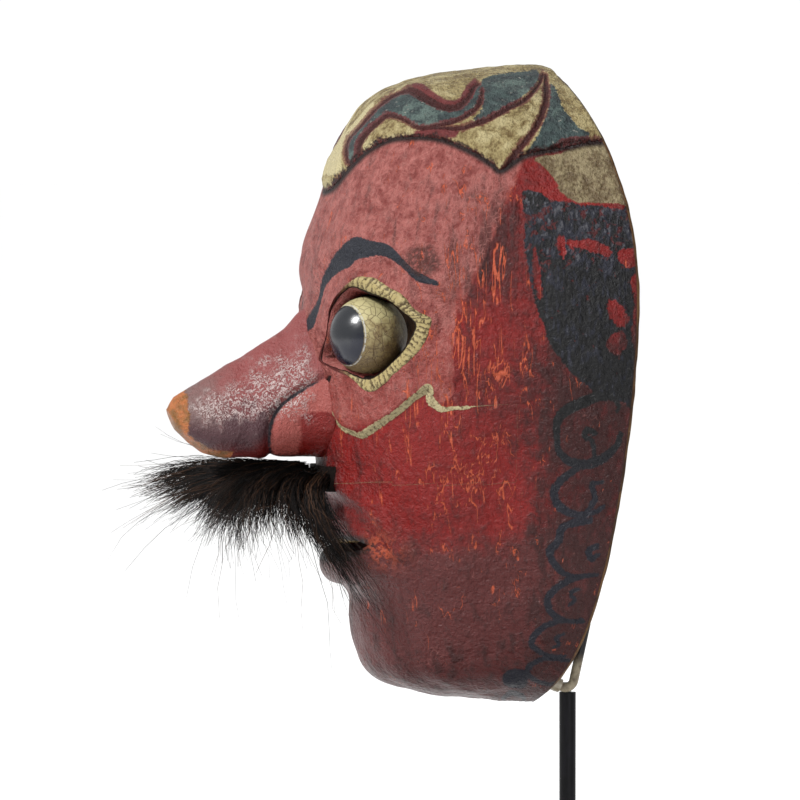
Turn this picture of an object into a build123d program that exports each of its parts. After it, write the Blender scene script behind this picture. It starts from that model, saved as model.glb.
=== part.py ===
"""Carved wooden theatre mask with a long pegged-on nose and a hair moustache, on a steel stand.

Frame: +Z up, the mask looks along -Y, +X is the mask's own left. The origin is on the table,
under the middle of the base. All sizes are in millimetres. The mask hangs by the inside of its
crown on the end of a wire, and its lower edge stands between that wire and two toes. The rod that
carries the wire turns in a collar on the base.
"""

import math
import os

from build123d import *

os.makedirs("parts", exist_ok=True)

# ---------------------------------------------------------------- driving dimensions
# base of the stand
base_width = 112.0
base_length = 132.0
base_thickness = 8.0
base_corner = 5.0
felt_thickness = 1.5
felt_inset = 2.0
rod_back = 40.0  # the rod stands this far behind the middle of the base

# collar and thumb screw
collar_radius = 8.0
collar_height = 20.0
collar_floor = 3.0  # metal left in the base plate under the rod
spigot_radius = 5.5
screw_radius = 2.0
screw_head_radius = 5.5
screw_head_length = 6.0
screw_neck = 3.0
screw_clearance = 0.03
screw_tip_gap = 0.35
knurl_radius = 0.45
knurl_count = 20

# rod and wires
rod_radius = 2.5
rod_bore_clearance = 0.05
wire_radius = 1.4
wire_bend = 2.6
toe_length = 9.5
knee_y = -5.0
valley_y = 0.8
valley_drop = 2.6
leg_y = 5.2  # the long leg of the wire stands this far behind the rod axis
sleeve_wall = 0.7
sleeve_end_y = -2.6
tip_sleeve_wall = 1.0
tip_sleeve_length = 8.0
finger_y = -16.0
finger_bend_y = -3.0
leg_top = 148.0

# mask
mask_bottom = 95.0  # height of the mask's lowest point above the table
mask_height = 190.8
mask_width = 140.0
face_reach = 80.0  # from the rim datum forward to the brow
temple_back = 8.2  # how far the rim reaches back at the temples
rim_from_rod = 0.0  # rim datum, behind (+) or ahead (-) of the rod axis
wall = 8.0
crown_wall = 10.0
chin_wall = 16.0
band_start = 158.0  # lower edge of the raised head band
band_raise = 1.8
notch_half_width = 14.0
notch_height = 9.0
notch_length = 20.0
widest = 0.637  # share of the height where the mask is widest
bluntness = 2.35  # of the level sections: 2 is an ellipse

# eyes and mouth
eye_x = 32.0
eye_y = -66.0
eye_z = 111.0
eyeball_radius = 11.5
eye_opening_length = 42.0
eye_opening_height = 20.5
eye_turn = 33.0  # the openings face this many degrees outwards
mouth_z = 48.0
mouth_half_width = 27.0
mouth_gap = 7.0
lip_radius = 4.6
lip_stand_out = 1.2
lower_lip_drop = 3.2
upper_lip_rise = 2.8

# nose, a separate piece let into the face and pegged
nose_seat = 73.6  # how far the joint plane lies ahead of the rim datum
nose_tip = 121.4
nose_root_half_width = 16.5
nose_tip_half_width = 3.2
nose_root_top = 120.0
nose_root_bottom = 74.0
nose_tip_z = 88.0
peg_radius = 3.0
peg_length = 24.0
peg_z = 91.0
peg_sink = 0.5

# moustache
hide_width = 34.0
hide_height = 7.5
hide_stand_out = 2.5  # of the strip's front, ahead of the face's calculated surface
hide_z = 68.0
nail_radius = 0.6
nail_length = 6.0
nail_head_radius = 1.3
nail_head = 0.6
nail_stand_off = 0.2  # between a nail's head and the middle of the hide under it
nail_side = 14.0

# bite tab inside the mask
tab_width = 24.0
tab_length = 24.0
tab_thickness = 3.0
tab_flange = 14.0
tab_flange_depth = 3.0
tab_z = 60.0
tab_nail_side = 7.0

part_gap = 0.35  # between pieces that rest on each other
fit_gap = 0.02  # between pieces that are pressed or glued together
glue_gap = 0.12  # glue under the strip of hide

# ---------------------------------------------------------------- values worked out from those
plate_bottom = felt_thickness
plate_top = plate_bottom + base_thickness
collar_top = plate_top + collar_height
bore_radius = rod_radius + rod_bore_clearance
rod_bottom = plate_bottom + collar_floor + part_gap
screw_z = plate_top + 0.55 * collar_height
sleeve_radius = wire_radius + sleeve_wall
hook_x = sleeve_radius + fit_gap
tip_sleeve_radius = wire_radius + tip_sleeve_wall
rim_y = rod_back + rim_from_rod
arch_radius = (notch_half_width**2 + notch_height**2) / (2 * notch_height)
arch_centre = notch_height - arch_radius
toe_z = arch_centre + math.sqrt((arch_radius - sleeve_radius - part_gap) ** 2 - hook_x**2)

inner_x = 1 - 2 * wall / mask_width
inner_y = 1 - wall / face_reach
inner_z = 1 - (crown_wall + chin_wall) / mask_height
inner_centre = chin_wall / (1 - inner_z)


def smooth(points, at):
    """Monotone cubic through (position, value) points, level beyond the ends."""
    if at <= points[0][0]:
        return points[0][1]
    if at >= points[-1][0]:
        return points[-1][1]
    steps = [(b[1] - a[1]) / (b[0] - a[0]) for a, b in zip(points, points[1:])]
    slopes = [steps[0]]
    for before, after in zip(steps, steps[1:]):
        slopes.append(0.0 if before * after <= 0 else 2 * before * after / (before + after))
    slopes.append(steps[-1])
    i = max(k for k in range(len(points) - 1) if points[k][0] <= at)
    span = points[i + 1][0] - points[i][0]
    t = (at - points[i][0]) / span
    value = (2 * t**3 - 3 * t**2 + 1) * points[i][1] + (3 * t**2 - 2 * t**3) * points[i + 1][1]
    return value + span * ((t**3 - 2 * t**2 + t) * slopes[i] + (t**3 - t**2) * slopes[i + 1])


# the face's middle profile: share of the height, share of the reach
profile = [
    (0.00, 0.74), (0.08, 0.785), (0.16, 0.82), (0.225, 0.905), (0.31, 0.925),
    (0.40, 0.94), (0.50, 0.965), (0.61, 1.0), (0.68, 0.996), (0.74, 0.968),
    (0.84, 0.88), (0.92, 0.80), (1.00, 0.75),
]  # fmt: skip


def half_width(z):
    """Half the mask's width at a height above its bottom."""
    share = min(max(z / mask_height, 0.0), 1.0)
    if share > widest:
        t = (share - widest) / (1 - widest)
        return mask_width / 2 * math.sqrt(1 - t**2.6)
    t = (widest - share) / widest
    return mask_width / 2 * (1 - 0.55 * t**1.5) * math.sqrt(1 - t**20)


def reach(z):
    """How far the middle of the face stands ahead of the rim datum at a height above the bottom."""
    share = min(max(z / mask_height, 0.0), 1.0)
    top = math.sqrt(max(0.0, 1 - max(0.0, (share - 0.8) / 0.2) ** 7))
    bottom = math.sqrt(max(0.0, 1 - max(0.0, 1 - share / 0.08) ** 3))
    return face_reach * smooth(profile, share) * top * bottom


def rim(z):
    """How far the rim lies behind the rim datum at a height above the bottom."""
    share = min(max(z / mask_height, 0.0), 1.0)
    if share > widest:
        return temple_back - 16.7 * ((share - widest) / (1 - widest)) ** 2
    t = (widest - share) / widest
    return temple_back - 13.0 * t**2 - 9.0 * t**8


def inside(x, y, z):
    """True where a point, from the rim datum and the mask's bottom, lies within the outer form."""
    if not 0 < z < mask_height:
        return False
    depth = rim(z) + reach(z)
    back = max(0.0, rim(z) - y)
    return depth > 0.1 and (abs(x) / half_width(z)) ** bluntness + (back / depth) ** 2 < 1


def middle(y):
    """Lowest and highest point of the outer form on the middle plane, at a depth y."""
    heights = [mask_height * k / 2000 for k in range(1, 2000) if inside(0, y, mask_height * k / 2000)]
    return heights[0], heights[-1]


def ring(y, grow, centre):
    """Closed outline of the outer form at depth y, scaled by grow about a height centre."""
    low, high = middle(y)
    start = (low + high) / 2
    points = []
    count = 36
    for k in range(count):
        angle = 2 * math.pi * k / count
        step_x, step_z = math.sin(angle), math.cos(angle)
        near, far = 0.0, mask_height
        for _ in range(30):
            trial = (near + far) / 2
            if inside(trial * step_x, y, start + trial * step_z):
                near = trial
            else:
                far = trial
        x, z = near * step_x, start + near * step_z
        points.append(
            Vector(x * grow[0], rim_y + y * grow[1], mask_bottom + centre + (z - centre) * grow[2])
        )
    return Wire([Edge.make_spline(points, periodic=True)])


def form(grow, centre):
    """The mask's outer form, scaled, as a solid that runs on behind the rim."""
    depths = [-face_reach * math.cos(math.radians(angle)) for angle in range(8, 88, 10)]
    depths += [-4.0, 8.0, 20.0 / grow[1]]
    return Solid.make_loft([ring(y, grow, centre) for y in depths])


def surface(x, z):
    """Depth of the outer form from the rim datum at a place on the face."""
    return rim(z) - (rim(z) + reach(z)) * math.sqrt(1 - (abs(x) / half_width(z)) ** bluntness)


def grown(offset):
    """Scales that set the outer form out by an offset, or in by a negative one."""
    return 1 + 2 * offset / mask_width, 1 + offset / face_reach, 1 + 2 * offset / mask_height


def behind_rim():
    """Everything behind the rim's curve."""
    count = 24
    heights = [mask_height * k / count for k in range(count + 1)]
    line = [(rim_y + rim(z), mask_bottom + z) for z in heights]
    above = (line[-1][0], line[-1][1] + 20)
    below = (line[0][0], line[0][1] - 20)
    far_y = rim_y + 60
    edge = Spline(*[Vector(0, y, z) for y, z in line])
    rest = Polyline(
        Vector(0, *line[-1]), Vector(0, *above), Vector(0, far_y, above[1]),
        Vector(0, far_y, below[1]), Vector(0, *below), Vector(0, *line[0]),
    )  # fmt: skip
    face = Face(Wire([*edge.edges(), *rest.edges()]))
    return extrude(face, amount=mask_width, dir=(1, 0, 0), both=True)


def place(shape, x, y, z):
    """Moves a shape to a point given from the rim datum and the mask's bottom."""
    return Pos(x, rim_y + y, mask_bottom + z) * shape


def facing(shape, x, y, z, heading=0.0):
    """Places a shape with its Z axis pointing forward, turned heading degrees towards +X."""
    return place(Rot(0, 0, heading) * Rot(90, 0, 0) * shape, x, y, z)


def eye_cut(side):
    """Leaf-shaped prism through the wall for one eye, side +1 or -1."""
    half = eye_opening_length / 2
    tall = eye_opening_height / 2
    outline = [
        ThreePointArc((-half, -2), (0, tall), (half, 1)),
        ThreePointArc((half, 1), (0, -tall), (-half, -2)),
    ]
    leaf = extrude(Face(Wire([e for arc in outline for e in arc.edges()])), amount=30, both=True)
    if side < 0:
        leaf = mirror(leaf, Plane.YZ)
    return facing(leaf, side * eye_x, eye_y, eye_z, side * eye_turn)


def lip(z, droop):
    """Half-round lip that follows the muzzle's plan curve."""
    ends = mouth_half_width + 3
    corner = Vector(ends, rim_y + surface(ends, z - droop) + lip_radius, mask_bottom + z - droop)
    centre = Vector(0, rim_y + surface(0, z) + lip_radius - lip_stand_out, mask_bottom + z)
    path = ThreePointArc(Vector(-corner.X, corner.Y, corner.Z), centre, corner)
    section = Plane(origin=path @ 0, z_dir=path % 0) * Circle(lip_radius)
    return sweep(section, path=path)


def nose_section(y_ahead, top, bottom, half):
    """Egg-shaped upright section of the nose, narrower at the top."""
    count = 16
    tall = (top - bottom) / 2
    points = []
    for k in range(count):
        angle = 2 * math.pi * k / count
        x = half * math.sin(angle) * (1 - 0.38 * math.cos(angle))
        z = (top + bottom) / 2 + tall * math.cos(angle)
        points.append(Vector(x, rim_y - y_ahead, mask_bottom + z))
    return Wire([Edge.make_spline(points, periodic=True)])


def make_nose():
    """Nose block from its flat seat to the tip, straight underneath and sloping on top."""
    span = nose_tip - nose_seat
    # shares of the length, of the drop of the top, of the rise of the bottom and of the half width
    shapes = [
        (0.00, 0.00, 0.00, 1.00),
        (0.17, 0.21, 0.00, 0.90),
        (0.40, 0.48, 0.00, 0.80),
        (0.66, 0.70, 0.01, 0.70),
        (0.86, 0.83, 0.24, 0.56),
        (0.96, 0.92, 0.62, 0.40),
        (1.00, 1.00, 1.00, 0.20),
    ]
    sections = []
    for along, drop, rise, width in shapes:
        top = nose_root_top + (nose_tip_z + 3 - nose_root_top) * drop
        bottom = nose_root_bottom + (nose_tip_z - 3 - nose_root_bottom) * rise
        half = nose_tip_half_width + (nose_root_half_width - nose_tip_half_width) * (width - 0.2) / 0.8
        sections.append(nose_section(nose_seat + span * along, top, bottom, half))
    return Solid.make_loft(sections)


def peg(gap):
    """Round peg that runs forward from just under the inside of the face."""
    start = inner_y * reach(peg_z) + peg_sink
    return facing(Cylinder(peg_radius + gap, peg_length + 2 * gap), 0, -start - peg_length / 2, peg_z)


def wire(points, radius):
    """Round wire along straight runs joined by arcs."""
    path = FilletPolyline(*points, radius=wire_bend)
    section = Plane(origin=path @ 0, z_dir=path % 0) * Circle(radius)
    return sweep(section, path=path)


def nail(gap):
    """Nail with a flat head on the XY plane and its shank below."""
    shank = Pos(0, 0, (gap - nail_length) / 2) * Cylinder(nail_radius + gap, nail_length + gap)
    return shank + Pos(0, 0, nail_head / 2) * Cylinder(nail_head_radius + gap, nail_head)


def hair_lock(stations):
    """Tapering lock of hair through (x, y, z, width, height), from the rim datum and mask bottom."""
    centres = [Vector(x, rim_y + y, mask_bottom + z) for x, y, z, _, _ in stations]
    sections = []
    for i, (_, _, _, wide, tall) in enumerate(stations):
        before = centres[max(i - 1, 0)]
        after = centres[min(i + 1, len(centres) - 1)]
        plane = Plane(origin=centres[i], x_dir=(0, 0, 1), z_dir=(after - before).normalized())
        sections.append((plane * Ellipse(tall, wide)).faces()[0].outer_wire())
    return Solid.make_loft(sections)


# ---------------------------------------------------------------- stand
def make_base():
    """Steel plate, its felt and the collar, with the holes that fit the rod and the screw."""
    outline = RectangleRounded(base_width, base_length, base_corner)
    plate = Pos(0, 0, plate_bottom) * extrude(outline, amount=base_thickness)
    plate = fillet(plate.edges().group_by(Axis.Z)[-1], 1.2)
    spigot_depth = base_thickness - collar_floor
    spigot_z = plate_top - spigot_depth / 2
    plate -= Pos(0, rod_back, spigot_z) * Cylinder(spigot_radius + fit_gap, spigot_depth)

    felt_size = base_width - 2 * felt_inset, base_length - 2 * felt_inset
    felt = extrude(RectangleRounded(*felt_size, base_corner), amount=felt_thickness)

    collar = Pos(0, rod_back, plate_top + collar_height / 2) * Cylinder(collar_radius, collar_height)
    collar = chamfer(collar.edges().group_by(Axis.Z)[-1], 1.0)
    collar += Pos(0, rod_back, spigot_z) * Cylinder(spigot_radius, spigot_depth)
    bore_length = collar_height + spigot_depth
    collar -= Pos(0, rod_back, collar_top - bore_length / 2) * Cylinder(bore_radius, bore_length)
    screw_hole = Rot(90, 0, 0) * Cylinder(screw_radius + screw_clearance, collar_radius)
    collar -= Pos(0, rod_back + collar_radius / 2 + rod_radius / 2, screw_z) * screw_hole
    return plate, felt, collar


def make_thumb_screw():
    """Thumb screw whose tip stops just short of the rod, with a knurled head behind the collar."""
    tip = rod_back + rod_radius + screw_tip_gap
    neck_end = rod_back + collar_radius + screw_neck
    shank = Rot(90, 0, 0) * Cylinder(screw_radius, neck_end - tip)
    screw = Pos(0, (tip + neck_end) / 2, screw_z) * shank
    head = Cylinder(screw_head_radius, screw_head_length)
    head = chamfer(head.edges().filter_by(GeomType.CIRCLE), 0.6)
    for k in range(knurl_count):
        groove = Pos(screw_head_radius, 0, 0) * Cylinder(knurl_radius, screw_head_length)
        head -= Rot(0, 0, 360 * k / knurl_count) * groove
    return screw + Pos(0, neck_end + screw_head_length / 2, screw_z) * Rot(90, 0, 0) * head


def crown_height(y):
    """Height of the inside of the crown above the mask's bottom, on the middle plane."""
    high = middle(y / inner_y)[1]
    return inner_centre + (high - inner_centre) * inner_z


def hook_points(side):
    """Toe end, knee and lowest corner of the wire that passes under the mask at side * hook_x."""
    x = side * hook_x
    z = mask_bottom + toe_z
    end = Vector(x, rod_back + knee_y - toe_length, z)
    knee = Vector(x, rod_back + knee_y, z)
    valley = Vector(x, rod_back + valley_y, z - valley_drop)
    return end, knee, valley


def valley_height(points):
    """Height of the middle of the wire at the bottom of its bend."""
    path = FilletPolyline(*points, radius=wire_bend)
    return min((path @ (k / 2000)).Z for k in range(2001))


def back_wire_points():
    """From the toe's end, under the rim, up behind it and forward to the crown."""
    finger_z = mask_bottom + crown_height(finger_y) - tip_sleeve_radius - part_gap
    return [
        *hook_points(1),
        Vector(hook_x, rod_back + leg_y, mask_bottom + toe_z - valley_drop + 20.0),
        Vector(hook_x, rod_back + leg_y, mask_bottom + leg_top),
        Vector(hook_x, rod_back + finger_bend_y, finger_z),
        Vector(hook_x, rod_back + finger_y, finger_z),
    ]


def side_hook_points(height):
    """From the toe's end back and down onto the rod's end, where the wire lies at the height given."""
    end, knee, _ = hook_points(-1)
    over_rod = Vector(-hook_x, rod_back - 1.6, height)
    return [end, knee, over_rod, Vector(-hook_x, rod_back + 1.4, height)]


def toe_sleeve(points):
    """Sleeve over the toe and the knee behind it, open at both ends."""
    end, knee, down = points[:3]
    share = (rod_back + sleeve_end_y - knee.Y) / (down.Y - knee.Y)
    stop = knee + (down - knee) * share
    cover = wire([end - Vector(0, sleeve_wall, 0), knee, stop], sleeve_radius)
    return cover - wire([end - Vector(0, 2 * sleeve_wall, 0), knee, down], wire_radius + fit_gap)


def tip_sleeve(points):
    """Cap on the wire's upper end, which the crown rests on."""
    end = points[-1]
    length = tip_sleeve_length + tip_sleeve_wall
    middle_y = end.Y - tip_sleeve_wall + length / 2
    cover = Pos(end.X, middle_y, end.Z) * Rot(90, 0, 0) * Cylinder(tip_sleeve_radius, length)
    hole = Cylinder(wire_radius + fit_gap, 2 * tip_sleeve_length)
    return cover - Pos(end.X, end.Y - fit_gap + tip_sleeve_length, end.Z) * Rot(90, 0, 0) * hole


# ---------------------------------------------------------------- mask
def make_shell():
    """The hollow carved face with head band, eyes, open mouth and throat notch."""
    above = place(Box(2 * mask_width, 4 * face_reach, mask_height), 0, 0, band_start + mask_height / 2)
    shell = form(grown(0), mask_height / 2) + (form(grown(band_raise), mask_height / 2) & above)
    shell += lip(mouth_z - mouth_gap / 2 - lower_lip_drop, 0.5)
    shell += lip(mouth_z + mouth_gap / 2 + upper_lip_rise, 2.0)
    shell -= form((inner_x, inner_y, inner_z), inner_centre)
    shell -= behind_rim()
    for side in (1, -1):
        shell -= eye_cut(side)
        shell += place(Sphere(eyeball_radius), side * eye_x, eye_y, eye_z)
    mouth = extrude(SlotOverall(2 * mouth_half_width, mouth_gap), amount=25, both=True)
    shell -= facing(mouth, 0, -reach(mouth_z), mouth_z)
    notch = facing(Cylinder(arch_radius, 2 * notch_length), 0, 0, arch_centre)
    notch += place(Sphere(arch_radius), 0, -notch_length, arch_centre)
    return shell - notch


def make_moustache(shell):
    """Strip of hide on the upper lip and the two locks of hair that spring from it."""
    half = hide_width / 2
    places = [half * k / 4 for k in range(-4, 5)]
    front = Spline(*[Vector(x, rim_y + surface(x, hide_z) - hide_stand_out, 0) for x in places])
    depth = front.position_at(0).Y + hide_stand_out + 2
    back = Polyline(front.position_at(0), Vector(-half, depth, 0), Vector(half, depth, 0), front.position_at(1))
    block = extrude(Face(Wire([*front.edges(), *back.edges()])), amount=hide_height)
    hide = Pos(0, 0, mask_bottom + hide_z - hide_height / 2) * block - Pos(0, -glue_gap, 0) * shell
    root = -surface(0, hide_z) + hide_stand_out
    near = hair_lock([
        (5.5, 2 - root, 68.0, 3.6, 3.0),
        (10.0, -8 - root, 67.0, 5.0, 3.8),
        (19.0, -12 - root, 62.0, 5.6, 4.6),
        (28.0, -7 - root, 52.0, 5.0, 4.6),
        (31.5, 3 - root, 42.0, 3.6, 3.4),
        (30.0, 13 - root, 31.0, 1.2, 1.2),
    ])
    far = hair_lock([
        (-5.5, 2 - root, 68.0, 3.6, 3.0),
        (-10.0, -8 - root, 68.5, 5.0, 3.8),
        (-19.0, -20 - root, 69.0, 5.4, 4.4),
        (-28.0, -31 - root, 68.0, 4.4, 3.6),
        (-35.0, -39 - root, 66.0, 2.8, 2.4),
        (-40.0, -44 - root, 64.0, 1.0, 1.0),
    ])
    clear = Pos(0, -part_gap, 0) * form(grown(0), mask_height / 2)
    cover = Pos(0, -fit_gap, 0) * hide
    return hide, near - clear - cover, far - clear - cover


def make_bite_tab():
    """Leather strip bent at a right angle: a flange on the inner wall and a tab for the teeth."""
    wall_y = inner_y * surface(0, tab_z)
    flange = place(Box(tab_width, 2 * tab_flange_depth + 10, tab_flange), 0, wall_y - 5, tab_z)
    low = tab_z - tab_flange / 2 + tab_thickness / 2
    plate = place(Box(tab_width, tab_length, tab_thickness), 0, wall_y + tab_length / 2, low)
    inner = form([size * (1 - fit_gap / 100) for size in (inner_x, inner_y, inner_z)], inner_centre)
    return (flange + plate) & inner, wall_y + tab_flange_depth


def make_parts():
    """Every piece in its place, by node name."""
    plate, felt, collar = make_base()
    back_points = back_wire_points()
    low = valley_height(back_points)
    side_points = side_hook_points(low)
    rod_top = low - wire_radius - fit_gap
    rod = Pos(0, rod_back, (rod_bottom + rod_top) / 2) * Cylinder(rod_radius, rod_top - rod_bottom)
    rod = chamfer(rod.edges().group_by(Axis.Z)[0], 0.4)

    shell = make_shell()
    nose = make_nose()
    hide, near_hair, far_hair = make_moustache(shell)
    tab, tab_back = make_bite_tab()
    shell -= nose
    shell -= peg(fit_gap)
    nose -= peg(fit_gap)

    pieces = {
        "base_plate": plate,
        "base_felt": felt,
        "rod_collar": collar,
        "thumb_screw": make_thumb_screw(),
        "stand_rod": rod,
        "back_wire": wire(back_points, wire_radius),
        "side_hook": wire(side_points, wire_radius),
        "hook_sleeve_left": toe_sleeve(back_points),
        "hook_sleeve_right": toe_sleeve(side_points),
        "wire_tip_sleeve": tip_sleeve(back_points),
        "nose": nose,
        "nose_peg": peg(0),
        "moustache_hair_left": near_hair,
        "moustache_hair_right": far_hair,
    }
    for side, word in ((1, "left"), (-1, "right")):
        x = side * nail_side
        y = surface(x, hide_z) - hide_stand_out - nail_stand_off
        slope = (surface(nail_side + 1, hide_z) - surface(nail_side - 1, hide_z)) / 2
        heading = side * math.degrees(math.atan(slope))
        pieces[f"moustache_nail_{word}"] = facing(nail(0), x, y, hide_z, heading)
        hide -= facing(nail(fit_gap), x, y, hide_z, heading)
        shell -= facing(nail(fit_gap), x, y, hide_z, heading)

        x = side * tab_nail_side
        z = tab_z + tab_thickness / 2
        pieces[f"bite_tab_nail_{word}"] = facing(nail(0), x, tab_back, z, 180)
        tab -= facing(nail(fit_gap), x, tab_back, z, 180)
        shell -= facing(nail(fit_gap), x, tab_back, z, 180)
    pieces["moustache_hide"] = hide
    pieces["bite_tab"] = tab
    pieces["face_shell"] = shell
    return pieces


for name, shape in make_parts().items():
    export_step(shape, f"parts/{name}.step")
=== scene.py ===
import math

import bmesh
import bpy
import numpy as np
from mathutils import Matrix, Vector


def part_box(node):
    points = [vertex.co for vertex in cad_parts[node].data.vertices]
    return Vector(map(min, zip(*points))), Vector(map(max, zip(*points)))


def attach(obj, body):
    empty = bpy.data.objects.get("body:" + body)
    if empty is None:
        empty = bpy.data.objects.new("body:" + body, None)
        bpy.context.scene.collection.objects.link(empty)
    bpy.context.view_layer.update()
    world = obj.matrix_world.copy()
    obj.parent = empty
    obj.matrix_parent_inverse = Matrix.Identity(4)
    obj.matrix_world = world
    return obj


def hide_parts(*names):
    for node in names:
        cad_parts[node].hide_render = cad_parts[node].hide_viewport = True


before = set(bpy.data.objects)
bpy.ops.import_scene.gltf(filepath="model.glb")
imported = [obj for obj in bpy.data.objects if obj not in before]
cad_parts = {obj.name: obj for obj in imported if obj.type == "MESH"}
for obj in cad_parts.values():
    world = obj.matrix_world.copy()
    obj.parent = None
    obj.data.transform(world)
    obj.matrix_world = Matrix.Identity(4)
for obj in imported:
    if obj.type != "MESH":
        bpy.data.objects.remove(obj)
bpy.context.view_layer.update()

# Everything on the mask is worked out in millimetres: x to the mask's own left, y back from the
# rod's axis (the face looks along -y), z up from the mask's lowest point.
rodLow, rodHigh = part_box("stand_rod")
pegLow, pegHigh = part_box("nose_peg")
pegAbove = 0.091  # the nose's peg sits this far above the mask's lowest point
origin = np.array([0.0, (rodLow[1] + rodHigh[1]) / 2, (pegLow[2] + pegHigh[2]) / 2 - pegAbove])
mm = 0.001

mask = {
    "height": 190.8, "width": 140.0, "reach": 80.0, "templeBack": 8.2, "widest": 0.637, "bluntness": 2.35,
    "profile": [(0, .74), (.08, .785), (.16, .82), (.225, .905), (.31, .925), (.40, .94), (.50, .965),
                (.61, 1), (.68, .996), (.74, .968), (.84, .88), (.92, .80), (1, .75)],
    "innerScale": (0.8857, 0.9, 0.8637), "innerCentre": 117.4,
    "notchRadius": 15.39, "notchCentre": -6.39, "notchLength": 20.0,
    "rows": 226, "columns": 320, "crownRows": 14, "edgeRound": 0.8,
}
lookedFrom = (0.985, 0.174)  # outlines are drawn on this slant: along = 0.985 y + 0.174 |x|
paintStrength = 0.2
farOff = 14.0  # distances to drawn lines are counted up to here
rng = np.random.default_rng(11)


# monotone cubic through (position, value) points, level beyond the ends
def smoothThrough(points, at):
    place, value = np.asarray(points, float).T
    step = np.diff(value) / np.diff(place)
    total = step[:-1] + step[1:]
    inner = np.where(step[:-1] * step[1:] > 0, 2 * step[:-1] * step[1:] / np.where(total == 0, 1, total), 0)
    slope = np.concatenate([step[:1], inner, step[-1:]])
    at = np.clip(at, place[0], place[-1])
    i = np.clip(np.searchsorted(place, at, side="right") - 1, 0, len(place) - 2)
    span = place[i + 1] - place[i]
    t = (at - place[i]) / span
    level = (2 * t**3 - 3 * t**2 + 1) * value[i] + (3 * t**2 - 2 * t**3) * value[i + 1]
    return level + span * ((t**3 - 2 * t**2 + t) * slope[i] + (t**3 - t**2) * slope[i + 1])


# Catmull-Rom curve through the points, some steps to each span
def throughPoints(points, steps=6, closed=False):
    p = np.asarray(points, float)
    if closed:
        p = np.vstack([p[-1], p, p[0], p[1]])
    else:
        p = np.vstack([2 * p[0] - p[1], p, 2 * p[-1] - p[-2]])
    t = (np.arange(steps) / steps)[None, :, None]
    a, b, c, d = (p[k:len(p) - 3 + k, None, :] for k in range(4))
    curve = 0.5 * (2 * b + (c - a) * t + (2 * a - 5 * b + 4 * c - d) * t**2 + (3 * b - a - 3 * c + d) * t**3)
    curve = curve.reshape(-1, p.shape[1])
    return curve if closed else np.vstack([curve, p[-2]])


# 0 below low, 1 above high, and a smooth S between
def rise(value, low, high):
    t = np.clip((value - low) / (high - low), 0, 1)
    return t * t * (3 - 2 * t)


# repeatable random numbers on a cubic lattice, blended smoothly between its corners
def lattice(points, size, seed=0):
    p = points / size + 1000.5
    cell = np.floor(p).astype(np.int64)
    f = p - cell
    f = f * f * (3 - 2 * f)
    total = np.zeros(len(points))
    for corner in range(8):
        step = np.array([corner & 1, corner >> 1 & 1, corner >> 2])
        at = cell + step
        key = at[:, 0] * 73856093 ^ at[:, 1] * 19349663 ^ at[:, 2] * 83492791 ^ seed * 2654435761
        key = key & 0x7FFFFFFF
        key = (key * 1103515245 + 12345) & 0x7FFFFFFF
        key = (key >> 7 ^ key) * 69069 & 0x7FFFFFFF
        weight = np.prod(np.where(step == 1, f, 1 - f), axis=1)
        total += weight * (key / 0x7FFFFFFF * 2 - 1)
    return total


# signed distance from points in a plane to a polyline: its sign tells the side, the second
# result is how far along the line, from 0 to 1, the nearest place lies
def lineDistance(places, line, reach=farOff):
    line = np.asarray(line, float)
    best = np.full(len(places), reach)
    along = np.zeros(len(places))
    near = np.all((places > line.min(0) - reach) & (places < line.max(0) + reach), axis=1)
    chosen = places[near]
    if not len(chosen):
        return best, along
    a, b = line[:-1], line[1:]
    d = b - a
    length = np.maximum(np.hypot(*d.T), 1e-6)
    start = np.concatenate([[0], np.cumsum(length)[:-1]])
    rel = chosen[:, None, :] - a[None]
    t = np.clip(np.einsum("psk,sk->ps", rel, d) / length**2, 0, 1)
    off = rel - t[..., None] * d
    distance = np.hypot(off[..., 0], off[..., 1])
    pick = distance.argmin(1)
    rows = np.arange(len(chosen))
    side = np.sign(d[pick, 0] * rel[rows, pick, 1] - d[pick, 1] * rel[rows, pick, 0])
    best[near] = np.minimum(distance[rows, pick], reach) * np.where(side == 0, 1, side)
    along[near] = (start[pick] + t[rows, pick] * length[pick]) / length.sum()
    return best, along


# signed distance to a closed outline, negative inside it
def areaDistance(places, outline, reach=farOff):
    loop = np.vstack([outline, outline[:1]])
    distance = np.abs(lineDistance(places, loop, reach)[0])
    x, y = places.T
    inside = np.zeros(len(places), bool)
    for (x0, y0), (x1, y1) in zip(loop[:-1], loop[1:]):
        if y0 != y1:
            inside ^= ((y0 > y) != (y1 > y)) & (x < (x1 - x0) * (y - y0) / (y1 - y0) + x0)
    return np.where(inside, -distance, distance)


# distance to the edge of a brush stroke along a line, negative in the paint; the half width
# is (place, value) points along the stroke
def strokeDistance(places, line, halfWidth):
    distance, along = lineDistance(places, throughPoints(line))
    return np.abs(distance) - smoothThrough(halfWidth, along)


# the mask's form
# half the mask's width at a height: a blunted oval above the widest place and below it
def halfWidthAt(z):
    share = np.clip(z / mask["height"], 0, 1)
    up = np.clip((share - mask["widest"]) / (1 - mask["widest"]), 0, 1)
    down = np.clip((mask["widest"] - share) / mask["widest"], 0, 1)
    above = np.sqrt(np.maximum(1 - up**2.6, 0))
    below = (1 - 0.55 * down**1.5) * np.sqrt(np.maximum(1 - down**20, 0))
    return mask["width"] / 2 * np.where(share > mask["widest"], above, below)


# how far the middle of the face stands ahead of the rod's axis: the profile, rounded off at both ends
def reachAt(z):
    share = np.clip(z / mask["height"], 0, 1)
    top = np.sqrt(np.maximum(0, 1 - np.maximum(0, (share - 0.8) / 0.2) ** 7))
    bottom = np.sqrt(np.maximum(0, 1 - np.maximum(0, 1 - share / 0.08) ** 3))
    return mask["reach"] * smoothThrough(mask["profile"], share) * top * bottom


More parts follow.
